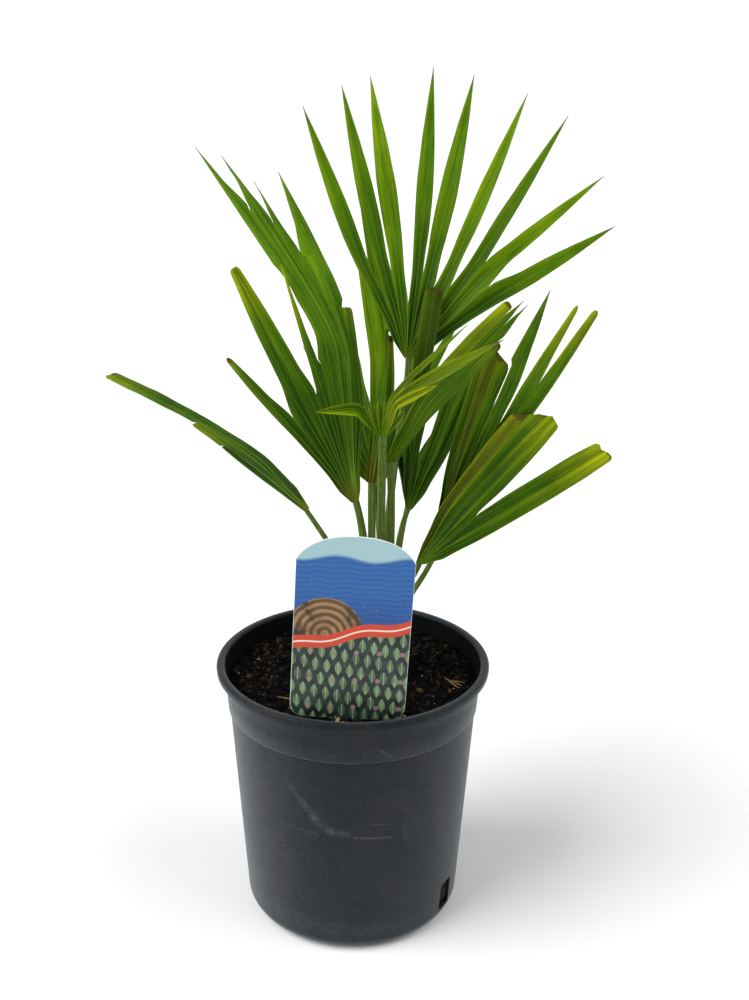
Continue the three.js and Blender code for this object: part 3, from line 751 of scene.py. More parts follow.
def pot_plastic(settings):
    """Moulded charcoal plastic with dust, handling marks and scuffs."""
    crease_level = settings.height / MM - COLLAR["height"] + 0.2
    lip_foot = settings.height / MM - LIP["height"]

    def finish(place):
        x, y, z = place.axes()
        cloud = place.stretched(1, 1, 0.6).grain(0.028, 4.0, 0.6)
        patches = place.grain(0.11, 5.0, 0.65, 0.6).ramp(0.42, 0.72)
        threads = place.stretched(1, 1, 0.07).grain(1.0, 3.0, 0.6)
        dust = cloud.ramp(0.36, 0.66) * 0.05 + patches * 0.09 + threads.ramp(0.45, 0.7) * 0.06
        specks = place.grain(1.1, 2.0, 0.5).ramp(0.66, 0.73) * 0.36
        hairline = place.stretched(0.5, 0.5, 3.2).grain(0.35, 4.0, 0.7, 1.4)
        hairlines = (hairline - 0.5).maths("ABSOLUTE").ramp(0.012, 0.0)
        worn = place.grain(0.5, 4.0, 0.6).ramp(0.38, 0.62)
        marks = dust + specks + hairlines * worn * 0.08
        scuffs = scuff_marks(x, y, z) * (0.35 + worn * 0.65) * settings.wear * 1.4
        crease = (z - crease_level).maths("ABSOLUTE").ramp(1.1, 0.1) * worn * 0.5
        under_lip = (z - (lip_foot - 0.4)).maths("ABSOLUTE").ramp(0.7, 0.1) * worn * 0.20
        foot = z.ramp(26.0, 0.5) * (0.3 + worn * 0.7) * 0.14
        share = ((marks + under_lip + foot) * settings.wear).maths("MINIMUM", 0.8)
        body = cloud.ramp(0.44, 0.66).blend(settings.colour, settings.warm)
        # Painted shade: the lip's plastic is painted darker than the wall below it.
        body = body.brighten(1.0 - z.ramp(lip_foot - 0.6, lip_foot + 1.0) * 0.55)
        body = share.blend(body, settings.dust)
        body = (crease * settings.wear * 2.4).blend(body, settings.grime)
        body = scuffs.blend(body, settings.scuff)
        rough = 0.40 + patches * 0.10 + (share + scuffs) * 0.5 + cloud * 0.08
        relief = place.grain(0.9, 4.0, 0.6) * 0.5 + hairlines * worn * 0.3 + scuffs * 0.4
        return {
            "Base Color": body,
            "Roughness": rough.maths("MINIMUM", 0.95),
            "Specular IOR Level": 0.12,
            "Sheen Weight": 0.28,
            "Sheen Roughness": 0.42,
            "Sheen Tint": (0.86, 0.95, 1.0),
            "height": (relief, 0.12),
        }

    return new_material("moulded plastic", finish)


def soiled_shaded_plastic(settings):
    """The inside of the wall: dull with the soil that clings to it, and painted darker than the
    plastic outside as painted shade in the pot's hollow.
    """

    def finish(place):
        cloud = place.grain(0.12, 5.0, 0.65)
        crust = place.grain(0.8, 5.0, 0.7)
        soiled = cloud.ramp(0.3, 0.7) * 0.6 + crust.ramp(0.4, 0.6) * 0.4
        return {
            # Painted shade: the plastic at under half its own brightness, blended with the clinging
            # soil.
            "Base Color": soiled.blend(scaled(settings.colour, 0.45), settings.soiled),
            "Roughness": 0.62 + crust * 0.3,
            "Specular IOR Level": 0.05,
            "height": (crust, 0.35),
        }

    return new_material("soiled plastic", finish)


# ------------------------------------------------------------------ soil

SOIL = dict(
    sides=160,
    rings=46,
    radius=86.2,
    rim=0.93,  # the share of that radius where the top starts to round off
    rim_drop=1.2,
    unevenness=0.3,  # of the root ball, which lies under the top
    crumb_radius=84.0,  # how far from the middle crumbs lie
    grit_radius=83.0,
    root_radius=80.0,
    grits=36,
    rootlets=90,
)
ROOT_BALL = ((84.2, 150), (75.2, 12), (67, 3.6), (0.05, 3.4))  # radius and height
CRUMB_SHARES = (62, 35, 3)  # of peat, of drier crumbs and of bark, in a hundred
LARGE_GRAINS = (  # x, y and size of the yellowish grains
    (-10, -78, 2.0), (-7, -78.6, 1.3), (31, -62, 2.2), (33.5, -61, 1.3), (69, -24, 1.0),
)
STRAWS = (  # both ends, as x and y, of the pale bits of straw
    ((-51, -38), (-40, -40)), ((64, -11), (75, -20)), ((66, -15), (73, -25)),
    ((69, -12), (77, -17)),
)


def on_soil(x, y, level, lift=0.0):
    """A point on the soil's uneven top, which is heaped up round the label's foot."""
    broad = 1.6 * wobble(x * 0.035, y * 0.035, 3.0)
    lumps = 1.5 * wobble(x * 0.13, y * 0.13, 9.0) + 0.8 * wobble(x * 0.33, y * 0.33, 5.0)
    mound = 5.5 * math.exp(-((x - LABEL["x"]) / 22) ** 2 - ((y - LABEL["y"]) / 9) ** 2)
    return Vector((x, y, level - 0.6 + broad + lumps + mound + lift))


def soil_material(name, colour, low=0.45, high=1.9):
    """Moist earth: the colour breaks up into darker and lighter grains."""

    def finish(place):
        fine = place.grain(0.9, 6.0, 0.7)
        broad = place.grain(0.12, 3.0, 0.6)
        shade = fine.ramp(0.3, 0.75) * 0.7 + broad.ramp(0.35, 0.7) * 0.3
        return {
            "Base Color": shade.blend(scaled(colour, low), scaled(colour, high)),
            "Roughness": 0.78 + fine * 0.25,
            "Specular IOR Level": 0.05,
            "height": (fine + place.grain(2.6, 3.0, 0.6) * 0.4, 0.9),
        }

    return new_material(name, finish)


def lump_shape():
    """Points and faces of a round lump of unit radius."""
    ball = bmesh.new()
    bmesh.ops.create_icosphere(ball, subdivisions=1, radius=1.0)
    vertices = [vertex.co.copy() for vertex in ball.verts]
    faces = [tuple(vertex.index for vertex in face.verts) for face in ball.faces]
    ball.free()
    return vertices, faces


def add_lump(heap, shape, centre, size, draw, paint=0):
    """A crumb: a lump of its own proportions and turn."""
    vertices, faces = shape
    turn = Matrix.Rotation(draw.uniform(0, math.tau), 3, draw_direction(draw))
    stretch = Matrix.Diagonal(
        (draw.uniform(0.7, 1.3), draw.uniform(0.7, 1.3), draw.uniform(0.6, 1.0) * 0.7)
    )
    shaped = turn @ stretch
    moved = []
    for vertex in vertices:
        jag = vertex * (1 + draw.uniform(-0.28, 0.28))
        moved.append(centre + (shaped @ jag) * size)
    heap.add(moved, faces, paint)


def draw_direction(draw):
    """A random direction."""
    height = draw.uniform(-1, 1)
    turn = draw.uniform(0, math.tau)
    return Vector((*polar(math.sqrt(1 - height * height), turn), height))


def soil_spot(draw, radius, level):
    """A random place on the soil's top."""
    away = radius * math.sqrt(draw.random())
    turn = draw.uniform(0, math.tau)
    return on_soil(*polar(away, turn), level)


def make_soil_bed(settings, level, peat):
    """The uneven top and the root ball under it, which shows through the drainage slots."""
    sides = SOIL["sides"]
    turns = [math.tau * k / sides for k in range(sides)]
    points = []
    for ring in range(SOIL["rings"] + 1):
        share = ring / SOIL["rings"]
        radius = max(0.05, SOIL["radius"] * share)
        drop = SOIL["rim_drop"] * smoothstep(SOIL["rim"], 1.0, share)
        points.extend(on_soil(*polar(radius, turn), level, -drop) for turn in turns)
    for radius, height in ROOT_BALL:
        for turn in turns:
            dent = abs(SOIL["unevenness"] * wobble(*polar(6, turn), height))
            points.append(Vector((*polar(radius - dent, turn), height)))
    heap = Heap()
    heap.add(points, [face[::-1] for face in ring_faces(len(points) // sides, sides)])
    heap.repaint(SOIL["rings"] * sides, 1)
    root_ball = soil_material("root ball", settings.crumb, 0.15, 2.6)
    heap.piece("soil_bed", [peat, root_ball], "soil", "soil", smooth=80.0)


def scatter_crumbs(settings, level, draw, peat):
    """Loose crumbs of peat and bark, most of them small."""
    shape = lump_shape()
    crumbs = Heap()
    for _ in range(settings.crumbs):
        spot = soil_spot(draw, SOIL["crumb_radius"], level)
        size = 0.45 + 2.3 * draw.random() ** 3.5
        paint = draw.choices((0, 1, 2), CRUMB_SHARES)[0]
        add_lump(crumbs, shape, spot + UP * size * 0.2, size, draw, paint)
    drier = soil_material("dry crumb", settings.crumb)
    bark = soil_material("bark crumb", settings.bark, 0.5, 1.6)
    crumbs.piece("soil_crumbs", [peat, drier, bark], None, "soil", smooth=80.0)


def scatter_grit(settings, level, draw, straw):
    """Pale mineral grit, and the few large yellowish grains."""
    shape = lump_shape()
    grit = Heap()
    for _ in range(SOIL["grits"]):
        spot = soil_spot(draw, SOIL["grit_radius"], level) + UP * 0.6
        add_lump(grit, shape, spot, draw.uniform(0.3, 0.8), draw)
    for x, y, size in LARGE_GRAINS:
        add_lump(grit, shape, on_soil(x, y, level, 0.4 * size), size, draw, 1)
    pale = soil_material("pale grit", settings.grit, 0.6, 1.4)
    grit.piece("soil_grit", [pale, straw], None, "soil", smooth=60.0)


def scatter_rootlets(settings, level, draw, straw):
    """Rootlets and bark fibre in low arches on the soil, and bits of straw."""
    roots = Heap()
    for _ in range(SOIL["rootlets"]):
        point = soil_spot(draw, SOIL["root_radius"], level)
        heading = draw.uniform(0, math.tau)
        length = draw.uniform(4, 16)
        bend = draw.uniform(-0.18, 0.18)
        path = []
        for i in range(9):
            if math.hypot(point.x, point.y) > SOIL["crumb_radius"]:
                break
            path.append(on_soil(point.x, point.y, level, 0.6 + math.sin(math.pi * i / 8)))
            heading += bend + draw.uniform(-0.12, 0.12)
            point += Vector((*polar(1, heading), 0)) * length / 8
        if len(path) > 3:
            radius = draw.uniform(0.10, 0.30)
            taper = [radius * (1 - 0.6 * i / len(path)) for i in range(len(path))]
            roots.tube(path, taper, 5, draw.randrange(2))
    shares = [i / 6 for i in range(7)]
    for (x0, y0), (x1, y1) in STRAWS:
        path = [on_soil(lerp(x0, x1, t), lerp(y0, y1, t), level, 0.9) for t in shares]
        roots.tube(path, [0.2 + 0.3 * math.sin(math.pi * t) for t in shares], 5, 2)
    tan = soil_material("rootlet", settings.fibre, 0.5, 1.6)
    umber = soil_material("bark fibre", scaled(settings.fibre, 0.35), 0.5, 1.6)
    roots.piece("soil_rootlets", [tan, umber, straw], None, "soil", smooth=80.0)


# ------------------------------------------------------------------ label

LABEL = dict(
    x=-4,
    y=-76,
    bottom=181,  # height of the card's foot
    shoulder=107,  # how far up the card its dome starts
    rise=16,
    full=0.75,  # how much of its width the dome keeps before it rounds off
    corner=10,
    stake_width=18,
    stake_depth=34,
    lean=3,  # in degrees
    bevel=0.25,
)


def curve_points(start, control, end, steps):
    """Points of a quadratic curve after its start."""
    points = []
    for step in range(1, steps + 1):
        t = step / steps
        near, middle, far = (1 - t) ** 2, 2 * t * (1 - t), t * t
        points.append([near * a + middle * b + far * c for a, b, c in zip(start, control, end)])
    return points


def label_outline(width):
    """The card's outline across and up, anticlockwise from the stake's foot."""
    half = width / 2
    stake = LABEL["stake_width"] / 2
    corner = LABEL["corner"]
    shoulder = LABEL["shoulder"]
    top = shoulder + LABEL["rise"]
    full = half * LABEL["full"]
    right = [
        (stake - 5, -LABEL["stake_depth"]),
        (stake, -LABEL["stake_depth"] + 8),
        (stake, -3),
        *curve_points((stake, -3), (stake, 0), (stake + 3, 0), 4),
        (half - corner, 0),
        *curve_points((half - corner, 0), (half, 0), (half, corner), 8),
        (half, shoulder),
        *curve_points((half, shoulder), (full, top), (0, top), 20),
    ]
    left = [(-across, up) for across, up in reversed(right[:-1])]
    return right + left


# The print, in millimetres up the card from its foot and across it from its middle.
PRINT = dict(
    sky=107,  # where the pale top starts
    middle=58,  # height of the ribbon, which parts the two halves
    slope=0.22,
    band=4.4,  # half the ribbon's width
    stripe=0.7,  # half the width of the pale line along it
    rings_across=-17,
    rings_radius=24.4,
    ring_step=4.6,
    row=9.5,  # height of a row of leaves
    column=7.2,
    edge=0.3,  # how soft the edges of the colours are
)


def printed_water(across, up, haze, settings):
    """The upper half: rippled water under a pale top, and rings of earth colours."""
    crest = up * 1.9 + (across * 0.33).maths("SINE") * 0.9 + haze * 5.0
    lines = crest.maths("SINE").ramp(-0.2, 1.0)
    deep = (up / 42.0 - 1.45 + haze * 0.5).ramp(0.0, 1.0)
    water = deep.blend(settings.sea, settings.shallows)
    water = (lines * 0.28).blend(water, scaled(settings.sea, 0.45))
    ring_x, ring_z = across - PRINT["rings_across"], up - PRINT["middle"]
    away = (ring_x * ring_x + ring_z * ring_z).maths("SQRT")
    rings = ((away + haze * 4.0) / PRINT["ring_step"]).maths("FRACT").ramp(0.42, 0.58)
    warm = rings.blend(settings.earth, settings.sand)
    warm = haze.ramp(0.45, 0.62).blend(warm, scaled(settings.earth, 0.35))
    top = away.ramp(PRINT["rings_radius"], PRINT["rings_radius"] - 0.4).blend(water, warm)
    shore = up + (across * 0.14).maths("SINE") * 1.8
    return shore.ramp(PRINT["sky"], PRINT["sky"] + 3.0).blend(top, settings.sky)


def printed_leaves(across, up, haze, shadow, settings):
    """The lower half: rows of pointed leaves, each row shifted by half a leaf, and small dots."""
    row = (up + across * 0.2) / PRINT["row"]
    level = row.maths("FLOOR")
    leaf_x = (across / PRINT["column"] + level.maths("MODULO", 2.0) * 0.5).maths("FRACT") - 0.5
    leaf_z = row - level - 0.5
    from_rib = leaf_x.maths("ABSOLUTE")
    inside = ((0.25 - leaf_z * leaf_z) * 1.3 - from_rib).ramp(0.0, 0.05)
    stripes = ((leaf_z - from_rib) * 7.0).maths("FRACT").ramp(0.30, 0.70)
    tint = haze.ramp(0.40, 0.62) * 0.65 + stripes * 0.35
    ground = shadow.blend(settings.ground, scaled(settings.ground, 0.3))
    leaves = inside.blend(ground, tint.blend(settings.sprig, scaled(settings.sprig, 0.22)))
    leaves = (inside * from_rib.ramp(0.05, 0.015) * 0.7).blend(leaves, (0.30, 0.38, 0.24))
    dot_x = (across / (2 * PRINT["column"]) + 0.25).maths("FRACT") - 0.5
    dot_z = (up / (2 * PRINT["row"])).maths("FRACT") - 0.42
    dots = (dot_x * dot_x * 207.0 + dot_z * dot_z * 361.0).ramp(3.2, 2.0)
    return (dots * 0.8).blend(leaves, settings.dots)


def label_print(settings):
    """Generic print: water and rings above, leaves below, and a slanting wavy ribbon between."""

    def finish(place):
        x, _, z = place.axes()
        lean = math.radians(LABEL["lean"])
        side, rise = x - LABEL["x"], z - LABEL["bottom"]
        across = side * math.cos(lean) - rise * math.sin(lean)
        up = side * math.sin(lean) + rise * math.cos(lean)
        haze = place.grain(0.06, 4.0, 0.6)
        shadow = place.grain(0.16, 4.0, 0.6).ramp(0.42, 0.64)
        water = printed_water(across, up, haze, settings)
        leaves = printed_leaves(across, up, haze, shadow, settings)
        wave = (across * 0.15 + 0.6).maths("SINE") * 1.6
        height = up - wave - across * PRINT["slope"] - PRINT["middle"]
        band, edge, stripe = PRINT["band"], PRINT["edge"], PRINT["stripe"]
        ribbon = height.ramp(-band, edge - band) * height.ramp(band, band - edge)
        both = (height > 0).blend(leaves, water)
        both = ribbon.blend(both, settings.ribbon)
        pale_line = height.maths("ABSOLUTE").ramp(stripe, stripe - edge) * 0.85
        both = pale_line.blend(both, (0.70, 0.62, 0.56))
        both = up.ramp(0.3, -1.2).blend(both, (0.012, 0.009, 0.007))
        scratch = place.stretched(1, 1, 0.2).grain(0.7, 4.0, 0.7).ramp(0.62, 0.70) * 0.10
        return {
            "Base Color": scratch.blend(both, (0.5, 0.52, 0.5)),
            "Roughness": 0.30 + haze * 0.12 + scratch,
            "Specular IOR Level": 0.40,
        }

    return new_material("printed card", finish)


def label_card(settings):
    """Bare plastic at the edges and the back, soiled near the ground."""

    def finish(place):
        cloud = place.grain(0.08, 4.0, 0.6)
        soiled = place.axes()[2].ramp(186.0, 178.0) * place.grain(0.5, 4.0, 0.6).ramp(0.35, 0.6)
        body = cloud.blend(scaled(settings.card, 0.86), settings.card)
        return {
            "Base Color": (soiled * 0.8).blend(body, (0.05, 0.035, 0.025)),
            "Roughness": 0.38 + cloud * 0.15,
            "height": (cloud, 0.05),
        }

    return new_material("bare card", finish)


# ------------------------------------------------------------------ leaf blades

# A point of a blade: across is its distance from the rib, and margin that from the ridge or
# edge; owner is the leaflet it lies on, halfway between two of them on a shared ridge; side is -1
# or 1 on a leaflet's left or right half, and 0 on ribs and ridges.
Post = namedtuple("Post", "point outward heading across margin along owner side")


def blade_normal(frond):
    """The direction that a frond's upper side faces."""
    turn, tilt = (math.radians(angle) for angle in frond["face"])
    return Vector((*polar(math.cos(tilt), turn), math.sin(tilt)))


def half_width(leaflet, distance):
    """Half the width of a leaflet that nothing hems in."""
    t = distance / leaflet.length / leaflet.natural
    width = lerp(LEAF["waist"], 1.0, smoothstep(LEAF["waist_at"], LEAF["widest_at"], t))
    if t > LEAF["widest_at"]:
        past = clamp((t - LEAF["widest_at"]) / (1 - LEAF["widest_at"]))
        width = 1 - past ** LEAF["taper"]
    return max(LEAF["tip_half_width"], leaflet.width / 2 * width)


def fill_between(anchors):
    """Posts from anchor to anchor, each half of a leaflet bulging a little."""
    columns = LEAF["columns"]
    posts = []
    for i, near in enumerate(anchors[:-1]):
        far = anchors[i + 1]
        rib = near if near.across == 0 else far
        half = max(near.across, far.across)
        side = 1 if near.across == 0 else -1
        width = (far.point - near.point).length
        for step in range(columns):
            t = step / columns
            bulge = LEAF["crown"] * width * math.sin(math.pi * t)
            normal = near.outward.lerp(far.outward, t).normalized()
            across = lerp(near.across, far.across, t)
            owner = rib.owner if step else near.owner
            posts.append(Post(
                near.point.lerp(far.point, t) + normal * bulge, normal, rib.heading, across,
                half - across, lerp(near.along, far.along, t), owner, side if step else near.side,
            ))
    posts.append(anchors[-1])
    return posts


def cut_back(posts, corners):
    """Draws the posts of a cut end back along the leaflet: round corners, a torn line."""
    corner = LEAF["corner"]
    result = []
    for post in posts:
        out = min((post.point - place).length for place in corners)
        past = max(0.0, corner - out)
        back = corner - math.sqrt(corner * corner - past * past)
        back += 0.45 * (1 + wobble(*(post.point * 0.45)))
        result.append(post._replace(point=post.point - post.heading * back))
    return result


def cleft_column(first, split):
    """How many posts of a row, which starts at the first leaflet, lie before the cleft that
    follows the leaflet called split."""
    return 2 * (split - first + 1) * LEAF["columns"]


def owners_of(post):
    """The leaflets that a post lies on: two of them on a shared ridge."""
    return sorted({math.floor(post.owner), math.ceil(post.owner)})


class Blade:
    """Grows the leaflets of one frond as one thin sheet of posts and quads."""

    def __init__(self, frond, number):
        self.frond = frond
        self.number = number
        self.leaflets = frond["leaflets"]
        self.hub = Vector(frond["hub"])
        self.normal = blade_normal(frond)
        self.upright = (UP - self.normal * UP.dot(self.normal)).normalized()
        self.side = self.upright.cross(self.normal)
        self.radius = frond["stalk"]["radius"][1]
        self.root = self.radius * LEAF["root_spread"] / len(self.leaflets)
        draw = Random(number * 101 + 7)
        self.shades = [draw.uniform(-1, 1) for _ in self.leaflets]
        self.posts = []
        self.quads = []
        tangent = stalk_curve(frond, 1.0) - stalk_curve(frond, 0.98)
        self.root_across = tangent.cross(self.normal).normalized()

    def midrib(self, place, distance):
        """The point on a leaflet's midrib at a distance from the hub."""
        leaflet = self.leaflets[place]
        angle = math.radians(leaflet.angle)
        heading = self.upright * math.cos(angle) + self.side * math.sin(angle)
        sideways = self.side * math.cos(angle) - self.upright * math.sin(angle)
        sag = Vector((*self.frond["sag"], -1))
        droop = sag - heading * sag.dot(heading)
        past = max(0.0, distance / leaflet.length - (leaflet.knee or self.frond["knee"]))
        bent = math.hypot(past, LEAF["knee_softness"]) - LEAF["knee_softness"]
        spread = self.radius * LEAF["root_spread"] * ((2 * place + 1) / len(self.leaflets) - 1)
        near = 1 - smoothstep(0, LEAF["root_blend"], distance)
        ripple = LEAF["ripple"] * smoothstep(10, 60, distance)
        point = self.hub + heading * distance
        point += droop * (leaflet.length * leaflet.bend * bent)
        point += sideways * (leaflet.length * leaflet.swing * bent)
        point += self.root_across * (spread * near)
        point += self.normal * (ripple * wobble(distance * 0.022, place * 3.1, self.number * 7.7))
        return point

    def rib(self, place, distance):
        """A leaflet's midrib with its directions along, across and out of the blade."""
        before, after = self.midrib(place, distance - 1), self.midrib(place, distance + 1)
        along = (after - before).normalized()
        across = along.cross(self.normal).normalized()
        return self.midrib(place, distance), along, across, across.cross(along)

    def reach(self, place, neighbour, distance):
        """A leaflet's half width towards a side where it is free. Past the foot of a cleft it
        draws back slowly from its neighbour."""
        leaflet = self.leaflets[place]
        uneven = wobble(distance * 0.06, place * 2.3 + neighbour * 0.7, self.number * 3.3)
        free = half_width(leaflet, distance) * (1 + 0.05 * uneven)
        if not 0 <= neighbour < len(self.leaflets):
            outer = lerp(self.root, self.radius, smoothstep(0, LEAF["root_blend"], distance))
            return min(free, outer + LEAF["outer_spread"] * distance)
        other = self.leaflets[neighbour]
        share = leaflet.width / (leaflet.width + other.width)

        def room(at):
            """The part of the gap between both ribs that is this leaflet's."""
            return share * (self.midrib(place, at) - self.midrib(neighbour, at)).length

        foot = self.web(min(place, neighbour))
        narrow = max(1.0, min(LEAF["cleft"], 0.7 * (leaflet.length - foot)))
        opened = smoothstep(0, narrow, distance - foot)
        width = lerp(room(foot), free, opened)
        if distance <= other.length:
            width = min(width, room(distance) - LEAF["clearance"] * min(1.0, opened * 5))
        return max(LEAF["tip_half_width"], width)

    def fold(self, place, distance):
        """How steeply a leaflet is folded."""
        leaflet = self.leaflets[place]
        steep = LEAF["fold"] + LEAF["pleat"] * math.exp(-distance / LEAF["pleat_reach"])
        beside = self.leaflets[max(0, place - 1):place] + self.leaflets[place + 1:place + 2]
        gap = min(abs(other.angle - leaflet.angle) for other in beside)
        steep *= clamp(gap / LEAF["open_angle"], 0.4, 1.0)
        if leaflet.trimmed:
            steep *= 1 - LEAF["flattening"] * smoothstep(0.7, 1.0, distance / leaflet.length)
        return steep

    def row(self, first, distances, reaches):
        """Posts across leaflets from the first on: edge, rib, ridge, rib ... edge."""
        ribs = [self.rib(first + i, distance) for i, distance in enumerate(distances)]
        last = first + len(ribs) - 1
        anchors = [self.edge(ribs[0], first, distances[0], -reaches[0])]
        for i, (point, heading, _, outward) in enumerate(ribs):
            if i > 0:
                anchors.append(self.ridge(ribs[i - 1:i + 1], first + i, distances[i - 1:i + 1]))
            anchors.append(Post(point, outward, heading, 0.0, 0.0, distances[i], first + i, 0))
        anchors.append(self.edge(ribs[-1], last, distances[-1], reaches[1]))
        return fill_between(anchors)

    def ridge(self, ribs, place, distances):
        """The post on the ridge that a leaflet shares with the one before it."""
        (near, near_heading, _, near_outward), (point, heading, _, outward) = ribs
        half = (point - near).length / 2
        lifted = (outward + near_outward).normalized()
        fold = (self.fold(place, distances[1]) + self.fold(place - 1, distances[0])) / 2
        spot = point.lerp(near, 0.5) + lifted * (half * fold)
        between = (heading + near_heading).normalized()
        return Post(spot, lifted, between, half, 0.0, sum(distances) / 2, place - 0.5, 0)

    def edge(self, rib, place, distance, reach):
        """The post at a leaflet's free edge."""
        point, along, across, outward = rib
        ripple = LEAF["ripple"] * min(1.0, abs(reach) / 3)
        lift = abs(reach) * self.fold(place, distance)
        lift += ripple * wobble(distance * 0.05, place * 5.3 + math.copysign(1.7, reach), 2.2)
        spot = point + across * reach + outward * lift
        return Post(spot, outward, along, abs(reach), 0.0, distance, place, math.copysign(1, reach))

    def web(self, place):
        """How far from the hub a leaflet and the next are grown together."""
        shorter = min(self.leaflets[place].length, self.leaflets[place + 1].length)
        return min(shorter, self.frond["web"][place])

    def together(self, place):
        """Whether a leaflet and the next are joined to their ends and were cut off as one."""
        first, second = self.leaflets[place:place + 2]
        level = abs(first.length - second.length) <= LEAF["joint_cut"]
        joined = self.frond["web"][place] == WHOLE
        return joined and level and first.trimmed and second.trimmed

    def add_row(self, posts):
        """Adds a row of posts and returns their numbers."""
        start = len(self.posts)
        self.posts.extend(posts)
        return list(range(start, len(self.posts)))

    def grow(self, first, last, start, near):
        """Carries a run of leaflets on from a row of posts, to where two of them part or to
        their ends."""
        parting = [place for place in range(first, last) if not self.together(place)]
        split = min(parting, key=self.web) if parting else None
        if split is None:
            ends = [self.leaflets[place].length for place in range(first, last + 1)]
        else:
            ends = [self.web(split)] * (last - first + 1)
        reaching = max(ends) > start + 0.01
        steps = max(1, round((max(ends) - start) / LEAF["spacing"])) if reaching else 0
        for step in range(1, steps + 1):
            distances = [lerp(start, end, step / steps) for end in ends]
            before = self.reach(first, first - 1, distances[0])
            after = self.reach(last, last + 1, distances[-1])
            posts = self.row(first, distances, (before, after))
            if step == steps:
                posts = self.finish_row(posts, first, last, split, ends)
            far = self.add_row(posts)
            for i in range(len(near) - 1):
                self.quads.append((near[i], near[i + 1], far[i + 1], far[i]))
            near = far
        if split is not None:
            cleft = cleft_column(first, split)
            self.grow(first, split, ends[0], near[:cleft + 1])
            self.grow(split + 1, last, ends[0], near[cleft:])

    def finish_row(self, posts, first, last, split, ends):
        """Shapes the cut end of every leaflet that stops at a run's last row."""
        if split is None:
            whole = all(self.leaflets[place].trimmed for place in range(first, last + 1))
            return cut_back(posts, (posts[0].point, posts[-1].point)) if whole else posts
        cleft = cleft_column(first, split)
        left, right = posts[:cleft], posts[cleft + 1:]
        if split == first and self.cut_by(first, ends[0]):
            left = cut_back(left, (posts[0].point,))
        if split + 1 == last and self.cut_by(last, ends[0]):
            right = cut_back(right, (posts[-1].point,))
        return left + [posts[cleft]] + right

    def cut_by(self, place, distance):
        """Whether a leaflet was cut off no farther out than a distance."""
        leaflet = self.leaflets[place]
        return leaflet.trimmed and leaflet.length <= distance

    def sheet(self):
        """Grows the whole blade from the stalk's end."""
        roots = self.row(0, [LEAF["start"]] * len(self.leaflets), (self.root, self.root))
        self.grow(0, len(self.leaflets) - 1, 0.0, self.add_row(roots))

    def tone(self, quad):
        """The colour of a quad by name: that of the leaflet it lies on."""
        places = [self.posts[corner].owner for corner in quad]
        whole = [place for place in places if place == math.floor(place)]
        return self.leaflets[int(whole[0] if whole else places[0])].tone or self.frond["tone"]

    def taken_over(self, post):
        """How far dry grey, cut brown and fresh lime take over the colour of a post."""
        shares = {"dry": 0.0, "brown": 0.0, "lime": 0.0}
        for owner in owners_of(post):
            leaflet = self.leaflets[owner]
            left = leaflet.length - post.along
            uneven = wobble(post.across * 0.5, post.along * 0.05, owner * 2.9 + self.number)
            for kind, length, strength in ENDS[leaflet.end]:
                reached = length * (1 + 0.4 * uneven)
                share = strength * smoothstep(0.0, 1.0, 1 - left / reached)
                shares[kind] = max(shares[kind], share)
        return shares


# How a leaf's colour runs from its darkest parts to its lightest: position, then its red, green
# and blue as shares of the leaflet's own colour.
LEAF_TONES = (
    (0.0, 0.02, 0.06, 0.3), (0.25, 0.27, 0.39, 0.5), (0.5, 1.0, 1.0, 1.0), (1.0, 2.6, 2.1, 2.0),
)


